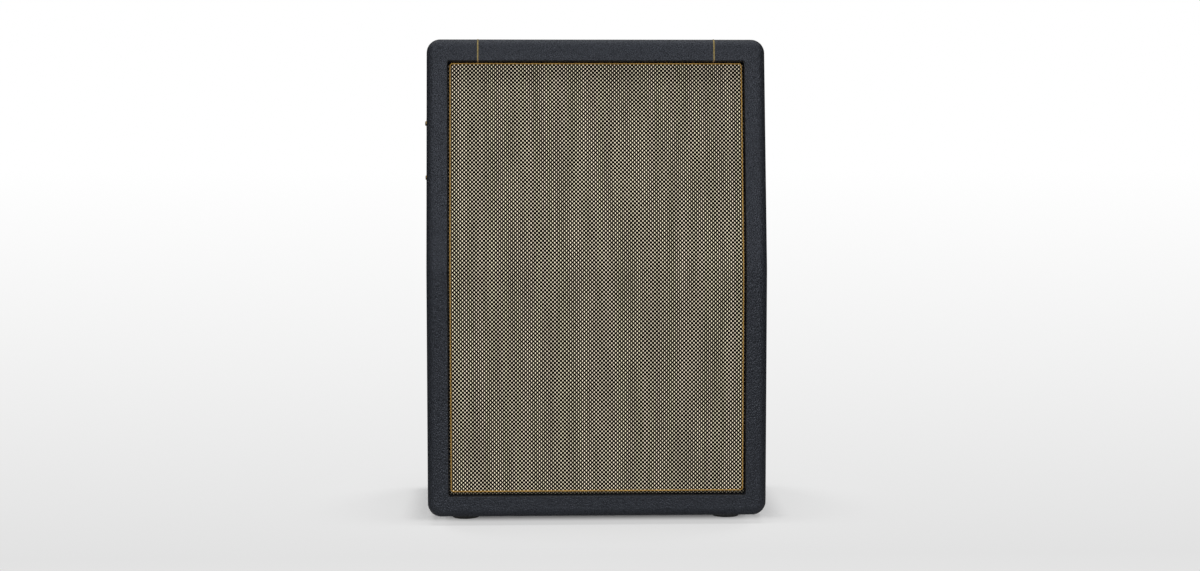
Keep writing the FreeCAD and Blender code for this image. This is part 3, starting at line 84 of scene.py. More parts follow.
def calc(tree, operation, *values):
    """The result of one operation on plain values or sockets."""
    return add(tree, "Math", dict(enumerate(values)), operation=operation).outputs[0]


def mixed(tree, share, first, second):
    """A mix of two colours."""
    inputs = {0: share, 6: first, 7: second}
    return add(tree, "Mix", inputs, data_type="RGBA").outputs[2]


def eased(tree, value, low, high, start=0.0, end=1.0):
    """A value brought smoothly from one range to another."""
    inputs = {"Value": value, "From Min": low, "From Max": high, "To Min": start, "To Max": end}
    return add(tree, "MapRange", inputs, interpolation_type="SMOOTHSTEP").outputs[0]


def new_group(name, inputs, outputs):
    """An empty shader group with its sockets; inputs maps a label to a socket's kind."""
    group = bpy.data.node_groups.new(name, "ShaderNodeTree")
    for label, kind in inputs.items():
        group.interface.new_socket(label, in_out="INPUT", socket_type=f"NodeSocket{kind}")
    for label in outputs:
        group.interface.new_socket(label, in_out="OUTPUT", socket_type="NodeSocketFloat")
    given = group.nodes.new("NodeGroupInput").outputs
    result = group.nodes.new("NodeGroupOutput").inputs
    return group, given, result


def connect(tree, **sources):
    """Link sockets to inputs of the shader, named with underscores."""
    shader = tree.nodes["Principled BSDF"]
    for label, source in sources.items():
        tree.links.new(source, shader.inputs[label.replace("_", " ").title()])


def raised(tree, height, depth):
    """Let a height from 0 to 1 stand out by a depth in metres."""
    connect(tree, normal=add(tree, "Bump", {"Height": height, "Distance": depth}).outputs[0])


def dress(finish, *names):
    """Give CAD nodes a finish."""
    for name in names:
        for slot in frame["nodes"][name].material_slots:
            slot.material = finish


FLECKS_PER_GRAIN = 9.0


def mottle_group():
    """Uneven tone: Tone drifts over a few grains, and Fleck changes within each grain."""
    kinds = {"Place": "Vector", "Scale": "Float"}
    group, given, result = new_group("mottle", kinds, ("Tone", "Fleck"))
    place = given["Place"]
    broad = add(group, "TexNoise", {"Vector": place, "Scale": given["Scale"], "Detail": 3.0})
    fine_scale = calc(group, "MULTIPLY", given["Scale"], FLECKS_PER_GRAIN)
    fine = add(group, "TexNoise", {"Vector": place, "Scale": fine_scale, "Detail": 2.0})
    group.links.new(eased(group, broad.outputs["Fac"], 0.3, 0.7), result["Tone"])
    group.links.new(eased(group, fine.outputs["Fac"], 0.32, 0.68), result["Fleck"])
    return group


MOTTLE = mottle_group()


def mottle(tree, scale, stretch=(1, 1, 1)):
    """The mottle on a piece, in object coordinates that may be stretched along an axis."""
    place = add(tree, "TexCoord").outputs["Object"]
    stretched = add(tree, "Mapping", {"Vector": place, "Scale": stretch}).outputs[0]
    node = add(tree, "Group", {"Place": stretched, "Scale": scale}, node_tree=MOTTLE)
    return node.outputs["Tone"], node.outputs["Fleck"]


def plywood(name, stretch):
    """Bare birch whose grain runs along the axis that is stretched least."""
    finish, tree, _ = new_finish(name, {"Roughness": 0.62})
    tone, fleck = mottle(tree, scale=1.0, stretch=stretch)
    pale = (0.56, 0.40, 0.23, 1)
    brown = (0.38, 0.245, 0.125, 1)
    connect(tree, base_color=mixed(tree, calc(tree, "MULTIPLY", tone, fleck), pale, brown))
    raised(tree, fleck, depth=0.00015)
    return finish


upright_ply = plywood("birch_upright", stretch=(160, 160, 6))
cross_ply = plywood("birch_across", stretch=(6, 160, 160))
dress(upright_ply, "left_side_panel", "right_side_panel", "front_strip_left", "front_strip_right")
dress(cross_ply, "top_panel", "bottom_panel", "front_strip_top", "front_strip_bottom", "back_battens")

# Baffles: two plywood boards mitred at the bend, with a cleat glued behind the joint. They are
# rolled with matt black paint, so that no pale wood shines through the cloth.
painted_ply, tree, _ = new_finish("black_rolled_paint", {})
tone, fleck = mottle(tree, scale=90.0, stretch=(1, 1, 0.25))
connect(
    tree,
    base_color=mixed(tree, tone, (0.010, 0.010, 0.011, 1), (0.022, 0.021, 0.021, 1)),
    roughness=eased(tree, fleck, 0.0, 1.0, 0.62, 0.82),
)
raised(tree, fleck, depth=0.0001)
dress(painted_ply, "upper_baffle", "lower_baffle", "baffle_cleat")

# Covering: black vinyl leathercloth with a pebbled levant grain, glued over the boards, turned into
# the front opening and over the rear edges, and parted by a gold bead in each seam on the top.
PEBBLES_PER_METRE = 430.0
PEBBLE_DRIFT = 0.7
PIPING_PITCH = 0.0026


def levant_group():
    """Pebbled grain: Pebble is high on each pebble, Crease is 1 between them, Lot differs for each."""
    kinds = {"Place": "Vector", "Scale": "Float"}
    group, given, result = new_group("levant_grain", kinds, ("Pebble", "Crease", "Lot"))
    scale = given["Scale"]
    drift = add(group, "TexNoise", {"Vector": given["Place"], "Scale": scale, "Detail": 1.0})
    reach = calc(group, "DIVIDE", PEBBLE_DRIFT, scale)
    shift = add(group, "VectorMath", {0: drift.outputs["Color"], "Scale": reach}, operation="SCALE")
    place = add(group, "VectorMath", {0: given["Place"], 1: shift.outputs[0]}).outputs[0]
    cells = add(group, "TexVoronoi", {"Vector": place, "Scale": scale}, feature="DISTANCE_TO_EDGE")
    rounds = add(group, "TexVoronoi", {"Vector": place, "Scale": scale}, feature="SMOOTH_F1")
    dome = eased(group, rounds.outputs["Distance"], 0.05, 0.75, 1.0, 0.0)
    furrow = eased(group, cells.outputs["Distance"], 0.0, 0.16, 1.0, 0.0)
    pebble = calc(group, "SUBTRACT", dome, calc(group, "MULTIPLY", furrow, 0.5))
    group.links.new(pebble, result["Pebble"])
    group.links.new(furrow, result["Crease"])
    lot = add(group, "TexWhiteNoise", {"Vector": rounds.outputs["Position"]}, noise_dimensions="3D")
    group.links.new(lot.outputs["Value"], result["Lot"])
    return group


LEVANT = levant_group()


def vinyl_finish(name):
    """Bluish black vinyl: each pebble has a tone of its own; the furrows are dull, with painted shade.
    """
    sheen = {"Specular IOR Level": 0.80, "Specular Tint": (0.80, 0.86, 1.0, 1)}
    finish, tree, _ = new_finish(name, sheen)
    place = add(tree, "TexCoord").outputs["Object"]
    grain = add(tree, "Group", {"Place": place, "Scale": PEBBLES_PER_METRE}, node_tree=LEVANT)
    _, fleck = mottle(tree, scale=24.0)
    dark_pebble = (0.0008, 0.0010, 0.0014, 1)
    pale_pebble = (0.0240, 0.0268, 0.0335, 1)
    # Painted shade: the furrows between the pebbles are coloured dark.
    furrow = (0.0020, 0.0022, 0.0028, 1)
    pebbles = mixed(tree, grain.outputs["Lot"], dark_pebble, pale_pebble)
    rough = calc(tree, "MULTIPLY_ADD", fleck, 0.08, 0.34)
    rough = calc(tree, "MULTIPLY_ADD", grain.outputs["Crease"], 0.35, rough)
    connect(tree, base_color=mixed(tree, grain.outputs["Crease"], pebbles, furrow), roughness=rough)
    raised(tree, grain.outputs["Pebble"], depth=0.0004)
    return finish


def piping_finish(name, gold, shade):
    """Gold piping wound in turns along the bead, with shade painted dark between the turns."""
    finish, tree, _ = new_finish(name, {"Metallic": 0.35, "Roughness": 0.38})
    place = add(tree, "SeparateXYZ", {0: add(tree, "TexCoord").outputs["Object"]}).outputs
    run = calc(tree, "ADD", calc(tree, "ADD", place["X"], place["Z"]), place["Y"])
    turns = calc(tree, "SINE", calc(tree, "MULTIPLY", run, 2 * math.pi / PIPING_PITCH))
    tone, _ = mottle(tree, scale=70.0)
    lay = eased(tree, turns, -0.9, 0.5)
    worn = mixed(tree, calc(tree, "MULTIPLY", tone, 0.45), gold, shade)
    # Painted shade: the grooves between the turns take the dark colour.
    connect(tree, base_color=mixed(tree, lay, shade, worn))
    raised(tree, lay, depth=0.0003)
    return finish


seam_gold = piping_finish("gold_seam_bead", (0.42, 0.33, 0.13, 1), (0.17, 0.125, 0.05, 1))
dress(vinyl_finish("levant_vinyl"), "covering_wrap", "covering_top")
dress(seam_gold, "seam_piping_left", "seam_piping_right")

# Speakers: a pressed steel basket with six windows, a card gasket, a paper cone with a glued dust
# cap, a copper coil on its former, and a ferrite magnet between a steel plate and a yoke. Rings of
# corrugated resin cloth carry the cone, and eight screws hold each basket to its baffle.
RING_WALL = 0.0008
WAVE_HEIGHT = 0.0008
WIRE_PITCH = 0.0004
WINDING_DEPTH = 0.00045
RESIN_CLOTH_SCALE = 1400.0
SURROUND_LAND = 0.005
SURROUND_END = 0.011
SURROUND_WAVES = 2
SHELF_WIDTH = 0.016
SPIDER_RISE = 0.004
SPIDER_WAVES = 4
STEPS_PER_WAVE = 8
METAL = {"Metallic": 1.0}


def plain_mottled(name, dark, pale, scale, rough, depth, plain=None):
    """A finish whose tone, gloss and surface are slightly uneven."""
    finish, tree, _ = new_finish(name, plain or {})
    tone, fleck = mottle(tree, scale)
    share = calc(tree, "MULTIPLY_ADD", fleck, 0.4, calc(tree, "MULTIPLY", tone, 0.6))
    connect(
        tree,
        base_color=mixed(tree, share, dark, pale),
        roughness=eased(tree, fleck, 0.0, 1.0, rough - 0.07, rough + 0.07),
    )
    raised(tree, fleck, depth)
    return finish


def winding_finish(name, axis):
    """Enamelled copper wire, wound turn beside turn along the speaker's axis."""
    finish, tree, _ = new_finish(name, {"Metallic": 0.9, "Roughness": 0.32})
    place = add(tree, "TexCoord").outputs["Object"]
    along = add(tree, "VectorMath", {0: place, 1: axis}, operation="DOT_PRODUCT").outputs["Value"]
    turns = calc(tree, "SINE", calc(tree, "MULTIPLY", along, 2 * math.pi / WIRE_PITCH))
    lay = eased(tree, turns, -1.0, 0.6)
    connect(tree, base_color=mixed(tree, lay, (0.22, 0.075, 0.03, 1), (0.68, 0.30, 0.13, 1)))
    raised(tree, lay, depth=0.0001)
    return finish


def treated_cloth(name):
    """Woven cotton stiffened with brown resin."""
    finish, tree, _ = new_finish(name, {"Roughness": 0.7})
    waves = {"Vector": add(tree, "TexCoord").outputs["Object"], "Scale": RESIN_CLOTH_SCALE}
    across = add(tree, "TexWave", waves, bands_direction="X").outputs["Fac"]
    along = add(tree, "TexWave", waves, bands_direction="Z").outputs["Fac"]
    weave = calc(tree, "MULTIPLY", across, along)
    tone, _ = mottle(tree, scale=60.0)
    resin = mixed(tree, tone, (0.050, 0.033, 0.018, 1), (0.085, 0.058, 0.032, 1))
    connect(tree, base_color=mixed(tree, weave, resin, (0.11, 0.08, 0.05, 1)))
    raised(tree, weave, depth=0.0002)
    return finish


basket_paint = plain_mottled(
    "basket_paint", dark=(0.030, 0.031, 0.034, 1), pale=(0.050, 0.051, 0.055, 1),
    scale=80.0, rough=0.42, depth=0.00006,
)
gasket_card = plain_mottled(
    "gasket_card", dark=(0.13, 0.085, 0.045, 1), pale=(0.24, 0.165, 0.095, 1),
    scale=120.0, rough=0.85, depth=0.0001,
)
cone_paper = plain_mottled(
    "cone_paper", dark=(0.018, 0.018, 0.018, 1), pale=(0.045, 0.044, 0.042, 1),
    scale=160.0, rough=0.88, depth=0.00015,
)
ferrite = plain_mottled(
    "ferrite", dark=(0.030, 0.030, 0.033, 1), pale=(0.060, 0.060, 0.064, 1),
    scale=100.0, rough=0.65, depth=0.0001,
)
plated_steel = plain_mottled(
    "plated_steel", dark=(0.44, 0.43, 0.40, 1), pale=(0.60, 0.59, 0.57, 1),
    scale=60.0, rough=0.34, depth=0.00003, plain=METAL,
)
brass = plain_mottled(
    "brass", dark=(0.44, 0.29, 0.11, 1), pale=(0.62, 0.44, 0.19, 1),
    scale=110.0, rough=0.34, depth=0.00003, plain=METAL,
)
resin_cloth = treated_cloth("resin_cloth")


def suspension_ring(name, land, outer, inner, start, end, waves):
    """A corrugated ring about +Y, extruded inwards step by step from its glued outer edge."""
    bpy.ops.object.select_all(action="DESELECT")
    bpy.ops.mesh.primitive_circle_add(vertices=96, radius=land, rotation=(math.pi / 2, 0, 0))
    ring = bpy.context.object
    ring.name = name
    bpy.ops.object.transform_apply()
    bpy.ops.object.mode_set(mode="EDIT")
    bpy.ops.mesh.select_all(action="SELECT")
    bpy.ops.transform.translate(value=(0, start, 0))
    radius = land
    height = start
    steps = STEPS_PER_WAVE * waves
    for step in range(steps + 1):
        share = step / steps
        calm = min(1.0, 2 * waves * share, 2 * waves * (1 - share))
        wave = WAVE_HEIGHT * math.cos(2 * math.pi * waves * share) * math.sin(math.pi / 2 * calm)
        next_radius = outer + (inner - outer) * share
        next_height = start + (end - start) * share + wave
        bpy.ops.mesh.extrude_edges_move(
            TRANSFORM_OT_translate={"value": (0, next_height - height, 0)}
        )
        ratio = next_radius / radius
        bpy.ops.transform.resize(value=(ratio, 1, ratio), center_override=(0, next_height, 0))
        radius = next_radius
        height = next_height
    bpy.ops.mesh.select_all(action="SELECT")
    bpy.ops.mesh.normals_make_consistent(inside=False)
    bpy.ops.object.mode_set(mode="OBJECT")
    wall = ring.modifiers.new("wall", "SOLIDIFY")
    wall.thickness = RING_WALL
    wall.offset = 0
    bpy.ops.object.modifier_apply(modifier=wall.name)
    bpy.ops.object.shade_smooth()
    ring.data.materials.append(resin_cloth)
    return ring


gasket_low, gasket_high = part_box("lower_gasket")
gasket_height = gasket_high.y - gasket_low.y
surround_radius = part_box("lower_surround")[1].x
cone_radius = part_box("lower_cone")[1].x
former_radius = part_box("lower_voice_coil")[1].x - WINDING_DEPTH
spider_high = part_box("lower_spider")[1]
spider_radius = spider_high.x
spider_start = spider_high.y - gasket_low.y - SPIDER_RISE - RING_WALL
spider_end = spider_start + SPIDER_RISE
for joint in frame["joints"]:
    side = joint["name"].split("_")[0]
    inward = -Vector(joint["axis"])
    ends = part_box(f"{side}_gasket")
    middle = (ends[0] + ends[1]) / 2 - inward * gasket_height / 2
    dress(basket_paint, f"{side}_basket")
    dress(gasket_card, f"{side}_gasket")
    dress(cone_paper, f"{side}_cone", f"{side}_dust_cap")
    dress(winding_finish(f"{side}_winding", inward), f"{side}_voice_coil")
    dress(plated_steel, f"{side}_motor_plates")
    dress(ferrite, f"{side}_magnet")
    dress(brass, f"{side}_terminals")
    surround = suspension_ring(
        f"{side}_corrugated_edge",
        land=surround_radius,
        outer=surround_radius - SURROUND_LAND,
        inner=cone_radius,
        start=gasket_height - RING_WALL / 2,
        end=SURROUND_END + RING_WALL / 2,
        waves=SURROUND_WAVES,
    )
    spider = suspension_ring(
        f"{side}_centring_ring",
        land=spider_radius,
        outer=spider_radius - SHELF_WIDTH,
        inner=former_radius,
        start=spider_start - RING_WALL / 2,
        end=spider_end + RING_WALL / 2,
        waves=SPIDER_WAVES,
    )
    spans = (
        (surround, "surround", gasket_height, SURROUND_END),
        (spider, "spider", spider_start, spider_end),
    )
    for ring, part, first, last in spans:
        ring.location = middle
        ring.rotation_euler = Vector((0, 1, 0)).rotation_difference(inward).to_euler()
        bpy.ops.object.select_all(action="DESELECT")
        ring.select_set(True)
        bpy.context.view_layer.objects.active = ring
        bpy.ops.object.transform_apply()
        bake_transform(ring)
        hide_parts(f"{side}_{part}")
dress(plated_steel, "speaker_screws")

# Leads: two round leads in black plastic sheath, inside the cabinet. Each runs in a shallow sag from
# the jack to the terminals of one speaker.
lead_sheath = plain_mottled(
    "lead_sheath", dark=(0.010, 0.010, 0.010, 1), pale=(0.022, 0.022, 0.022, 1),
    scale=150.0, rough=0.55, depth=0.0001,
)
dress(lead_sheath, "speaker_lead_lower", "speaker_lead_upper")

# Back: a plywood panel faced with the same vinyl, screwed through cup washers to the battens, with
# the jack on the floor of a moulded round dish. The screws are cross-headed wood screws.
HEAD_RADIUS = 0.0037
HEAD_HEIGHT = 0.0024
HEAD_ROUND = 0.7 * HEAD_HEIGHT
SHANK_RADIUS = 0.002
POINT_SHARE = 0.25
POINT_RATIO = 0.15
CROSS_BAR = (1.1 * HEAD_RADIUS, 0.26 * HEAD_RADIUS, 1.1 * HEAD_HEIGHT)
SCREW_TURN = 0.9
SMOOTH_ANGLE = math.radians(35)
BACK_SCREW_INSET = 0.010


def pick_faces(piece, test):
    """In edit mode, select only the faces that pass a test."""
    bpy.ops.mesh.select_mode(type="FACE")
    bpy.ops.mesh.select_all(action="DESELECT")
    mesh = bmesh.from_edit_mesh(piece.data)
    for face in mesh.faces:
        face.select_set(test(face))
    bmesh.update_edit_mesh(piece.data)


def extrude_along_z(height):
    """In edit mode, extrude the selected faces along Z."""
    bpy.ops.mesh.extrude_region_move(TRANSFORM_OT_translate={"value": (0, 0, height)})


def cut_away(piece, cutter):
    """Cut another object's shape out of a piece, and delete that object."""
    cut = piece.modifiers.new("cut", "BOOLEAN")
    cut.object = cutter
    cut.operation = "DIFFERENCE"
    bpy.context.view_layer.objects.active = piece
    bpy.ops.object.modifier_apply(modifier=cut.name)
    bpy.data.objects.remove(cutter)


def cross_head_screw(shank_length):
    """A domed wood screw along +Z with its seat at the origin and a cross cut in its head."""
    bpy.ops.object.select_all(action="DESELECT")
    bpy.ops.mesh.primitive_cylinder_add(
        vertices=32, radius=HEAD_RADIUS, depth=HEAD_HEIGHT, location=(0, 0, HEAD_HEIGHT / 2)
    )
    screw = bpy.context.object
    bpy.ops.object.transform_apply()
    bpy.ops.object.mode_set(mode="EDIT")
    pick_faces(screw, lambda face: face.normal.z > 0.9)
    bpy.ops.mesh.bevel(offset=HEAD_ROUND, segments=5, affect="EDGES")
    pick_faces(screw, lambda face: face.normal.z < -0.9)
    bpy.ops.mesh.inset(thickness=HEAD_RADIUS - SHANK_RADIUS)
    extrude_along_z((POINT_SHARE - 1) * shank_length)
    extrude_along_z(-POINT_SHARE * shank_length)
    bpy.ops.transform.resize(
        value=(POINT_RATIO, POINT_RATIO, 1), center_override=(0, 0, -shank_length)
    )
    bpy.ops.object.mode_set(mode="OBJECT")
    for turn in (0, math.pi / 2):
        bpy.ops.mesh.primitive_cube_add(size=1, location=(0, 0, HEAD_HEIGHT), rotation=(0, 0, turn))
        bar = bpy.context.object
        bar.scale = CROSS_BAR
        cut_away(screw, bar)
    bpy.ops.object.select_all(action="DESELECT")
    screw.select_set(True)
    bpy.ops.object.shade_smooth_by_angle(angle=SMOOTH_ANGLE)
    return screw


def screw_set(name, shank_length, places, finish, node):
    """Copies of one screw at places with their outward directions, each at a turn of its own."""
    pattern = cross_head_screw(shank_length)
    copies = []
    for number, (spot, outward) in enumerate(places):
        copy = bpy.data.objects.new(name, pattern.data.copy())
        bpy.context.collection.objects.link(copy)
        facing = Vector((0, 0, 1)).rotation_difference(outward).to_matrix().to_4x4()
        turned = facing @ Matrix.Rotation(SCREW_TURN * number, 4, "Z")
        copy.data.transform(Matrix.Translation(spot) @ turned)
        copies.append(copy)
    bpy.data.objects.remove(pattern)
    bpy.ops.object.select_all(action="DESELECT")
    for copy in copies:
        copy.select_set(True)
    bpy.context.view_layer.objects.active = copies[0]
    bpy.ops.object.join()
    screws = bpy.context.object
    screws.name = name
    screws.data.materials.append(finish)
    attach(screws, "cabinet")
    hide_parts(node)


nickel = plain_mottled(
    "nickel", dark=(0.56, 0.54, 0.50, 1), pale=(0.70, 0.68, 0.64, 1),
    scale=70.0, rough=0.24, depth=0.00002, plain=METAL,
)
moulded_black = plain_mottled(
    "moulded_black", dark=(0.010, 0.010, 0.0105, 1), pale=(0.017, 0.017, 0.018, 1),
    scale=300.0, rough=0.46, depth=0.00012,
)
dress(vinyl_finish("levant_vinyl_board"), "back_panel")
dress(nickel, "back_cup_washers", "jack_nut")
dress(moulded_black, "jack_dish", "jack_socket")
panel_low, panel_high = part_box("back_panel")
screws_low, screws_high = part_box("back_panel_screws")
seat = screws_high.y - HEAD_HEIGHT
edge = panel_high.x - BACK_SCREW_INSET
lowest = panel_low.z + BACK_SCREW_INSET
highest = panel_high.z - BACK_SCREW_INSET
halfway = (panel_low.z + panel_high.z) / 2
backwards = Vector((0, 1, 0))
spots = [(x, z) for x in (-edge, edge) for z in (lowest, halfway, highest)]
spots += [(0, lowest), (0, highest)]
back_places = [(Vector((x, seat, z)), backwards) for x, z in spots]
screw_set("back_cross_screws", seat - screws_low.y, back_places, nickel, "back_panel_screws")

# Handles: a moulded black cup is let into each side, and its flange lies flat on the covering. Four
# brass cross-headed wood screws through the flange's corners hold it to the side board.
HANDLE_SCREWS_ALONG = 0.144
HANDLE_SCREWS_UP = 0.0815
HANDLE_SHANK = 0.016
dress(moulded_black, "handle_left", "handle_right")
handle_places = []
for side, name in ((-1, "handle_left"), (1, "handle_right")):
    low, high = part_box(name)
    outside = low.x if side < 0 else high.x
    for along in (-HANDLE_SCREWS_ALONG / 2, HANDLE_SCREWS_ALONG / 2):
        for up in (-HANDLE_SCREWS_UP / 2, HANDLE_SCREWS_UP / 2):
            spot = Vector((outside, (low.y + high.y) / 2 + along, (low.z + high.z) / 2 + up))
            handle_places.append((spot, Vector((side, 0, 0))))
screw_set("handle_cross_screws", HANDLE_SHANK, handle_places, brass, "handle_screws")

# Feet: four moulded rubber discs with a slight draft and a rounded tread edge. A plated screw and
# washer, sunk in a well, hold each one to the bottom board.
FOOT_DRAFT = 0.975
TREAD_ROUND = 0.0016
WELL_RADIUS = 0.0095
WELL_DEPTH = 0.007
FOOT_BORE_RADIUS = 0.0022
FOOT_NODES = ("foot_front_left", "foot_front_right", "foot_rear_left", "foot_rear_right")
rubber = plain_mottled(
    "rubber", dark=(0.009, 0.009, 0.009, 1), pale=(0.018, 0.018, 0.0175, 1),
    scale=110.0, rough=0.78, depth=0.00015,
)
foot_low, foot_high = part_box(FOOT_NODES[0])
foot_middle = (foot_low + foot_high) / 2
foot_radius = (foot_high.x - foot_low.x) / 2
foot_height = foot_high.z - foot_low.z
tread_width = foot_radius * FOOT_DRAFT - TREAD_ROUND - WELL_RADIUS
bpy.ops.object.select_all(action="DESELECT")
bpy.ops.mesh.primitive_cylinder_add(
    vertices=96, radius=foot_radius, depth=foot_height, location=foot_middle
)
foot = bpy.context.object
bpy.ops.object.transform_apply()
bpy.ops.object.mode_set(mode="EDIT")
pick_faces(foot, lambda face: face.normal.z < -0.9)
bpy.ops.transform.resize(value=(FOOT_DRAFT, FOOT_DRAFT, 1), center_override=foot_middle)
bpy.ops.mesh.bevel(offset=TREAD_ROUND, segments=5, affect="EDGES")
pick_faces(foot, lambda face: face.normal.z < -0.999)
bpy.ops.mesh.inset(thickness=tread_width)
extrude_along_z(WELL_DEPTH)
bpy.ops.object.mode_set(mode="OBJECT")
bpy.ops.mesh.primitive_cylinder_add(
    vertices=32, radius=FOOT_BORE_RADIUS, depth=2 * foot_height, location=foot_middle
)
cut_away(foot, bpy.context.object)
foot.select_set(True)
bpy.ops.object.shade_smooth_by_angle(angle=SMOOTH_ANGLE)
foot.data.materials.append(rubber)
for node in FOOT_NODES:
    disc = bpy.data.objects.new(f"rubber_{node}", foot.data.copy())
    bpy.context.collection.objects.link(disc)
    disc.data.transform(Matrix.Translation(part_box(node)[0] - foot_low))
    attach(disc, "cabinet")
    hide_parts(node)
bpy.data.objects.remove(foot)
dress(plated_steel, "foot_washers", "foot_screws")

# Grille: a cloth of black and cream yarn, stretched over the bent, black-painted frame and stapled
# behind it, with a gold bead laid round it. The cream yarn shows as short upright floats, in every
# second place.
CLOTH_COLUMNS = 151
CLOTH_ROWS = 220
TURNED_THREADS = 8
FLOAT_HALF_WIDTH = 0.159
FLOAT_HALF_LENGTH = 0.254
# Light left on the hems past the bead under their painted shade.
HEM_PAINTED_SHADE = 0.3
YARN_DIP = 0.00025
YARN_THICKNESS = 0.0005
BEND_HEIGHT = 0.378
BEND_RADIUS = 0.060
EDGE_TURN = 0.002
BEAD_MIDDLE = 0.001


def float_group():
    """Floats of one yarn at every second crossing: Dome is 1 at the middle of a float."""
    kinds = {"Across": "Float", "Along": "Float", "Half Width": "Float", "Half Length": "Float"}
    group, given, result = new_group("yarn_floats", kinds, ("Dome", "Thread"))
    thread = calc(group, "FLOOR", calc(group, "MULTIPLY_ADD", given["Across"], 0.5, 0.5))
    pick = calc(group, "FLOOR", calc(group, "MULTIPLY_ADD", given["Along"], 0.5, 0.5))
    side = calc(group, "SUBTRACT", calc(group, "MULTIPLY", given["Across"], 0.5), thread)
    rise = calc(group, "SUBTRACT", calc(group, "MULTIPLY", given["Along"], 0.5), pick)
    wide = calc(group, "POWER", calc(group, "DIVIDE", side, given["Half Width"]), 2.0)
    tall = calc(group, "POWER", calc(group, "DIVIDE", rise, given["Half Length"]), 2.0)
    dome = calc(group, "SUBTRACT", 1.0, calc(group, "ADD", wide, tall))
    group.links.new(calc(group, "MAXIMUM", dome, 0.0), result["Dome"])
    group.links.new(thread, result["Thread"])
    return group


FLOATS = float_group()


def woven_floats(tree, across, along):
    """The floats of even and odd yarns together: their domes, and the number of each one's yarn."""
    yarns = []
    for shift in (0.0, 1.0):
        inputs = {
            "Across": calc(tree, "ADD", across, shift),
            "Along": calc(tree, "ADD", along, shift),
            "Half Width": FLOAT_HALF_WIDTH,
            "Half Length": FLOAT_HALF_LENGTH,
        }
        yarn = add(tree, "Group", inputs, node_tree=FLOATS).outputs
        yarns.append((yarn["Dome"], calc(tree, "MULTIPLY_ADD", yarn["Thread"], 2.0, -shift)))
    (even, even_number), (odd, odd_number) = yarns
    is_odd = calc(tree, "GREATER_THAN", odd, even)
    step = calc(tree, "SUBTRACT", odd_number, even_number)
    number = calc(tree, "MULTIPLY_ADD", step, is_odd, even_number)
    return calc(tree, "MAXIMUM", even, odd), number


def yarn_drift(tree, number, along, by_yarn, by_pick, detail):
    """A slow noise that changes from yarn to yarn, and more slowly along each yarn."""
    place = add(
        tree,
        "CombineXYZ",
        {0: calc(tree, "MULTIPLY", number, by_yarn), 1: calc(tree, "MULTIPLY", along, by_pick)},
    )
    inputs = {"Vector": place.outputs[0], "Scale": 1.0, "Detail": detail}
    return add(tree, "TexNoise", inputs, noise_dimensions="2D").outputs["Fac"]


def past_bead(tree, across, along, columns, rows, hems):
    """How many threads a point lies outside the bead; below zero inside it."""
    side_hem, lower_hem, upper_hem = hems
    sideways = calc(tree, "ABSOLUTE", calc(tree, "SUBTRACT", across, columns / 2))
    past = calc(tree, "SUBTRACT", sideways, columns / 2 - side_hem)
    past = calc(tree, "MAXIMUM", past, calc(tree, "SUBTRACT", lower_hem, along))
    return calc(tree, "MAXIMUM", past, calc(tree, "SUBTRACT", along, rows - upper_hem))


def weave_finish(name, columns, rows, hems):
    """The weave on the cloth's own flat map: yarns differ, and shade is painted on the hems past the
    bead.
    """
    finish, tree, _ = new_finish(name, {"Specular IOR Level": 0.03})
    flat = add(tree, "SeparateXYZ", {0: add(tree, "UVMap", uv_map="UVMap").outputs["UV"]}).outputs
    across = calc(tree, "MULTIPLY", flat["X"], float(columns))
    along = calc(tree, "MULTIPLY", flat["Y"], float(rows))
    dome, number = woven_floats(tree, across, along)
    lot = add(tree, "TexWhiteNoise", {"W": number}, noise_dimensions="1D").outputs["Value"]
    streak = yarn_drift(tree, number, along, by_yarn=0.16, by_pick=0.02, detail=2.0)
    dye = yarn_drift(tree, number, along, by_yarn=0.31, by_pick=0.006, detail=1.0)
    bright = calc(tree, "MULTIPLY_ADD", lot, 0.14, eased(tree, streak, 0.3, 0.7, 0.74, 0.92))
    # Painted shade: the hems past the bead, down in the recess between frame and cabinet, are darkened.
    past = past_bead(tree, across, along, columns, rows, hems)
    bright = calc(tree, "MULTIPLY", bright, eased(tree, past, 0.0, 0.4, 1.0, HEM_PAINTED_SHADE))
    yellow_cream = (0.945, 0.87, 0.63, 1)
    rosy_cream = (0.99, 0.868, 0.677, 1)
    # Painted shade: each cream float turns brown towards its rim, where it dives into the weave.
    float_rim_painted_shade = (0.30, 0.23, 0.13, 1)
    black_yarn = (0.0025, 0.0022, 0.002, 1)
    cream = mixed(tree, eased(tree, dye, 0.35, 0.65), yellow_cream, rosy_cream)
    lit = add(tree, "VectorMath", {0: cream, "Scale": bright}, operation="SCALE").outputs[0]
    yarn = mixed(tree, eased(tree, dome, 0.05, 0.4), float_rim_painted_shade, lit)
    connect(
        tree,
        base_color=mixed(tree, eased(tree, dome, 0.0, 0.18), black_yarn, yarn),
        roughness=eased(tree, dome, 0.0, 0.6, 0.85, 0.6),
    )
    raised(tree, dome, depth=0.0005)
    return finish


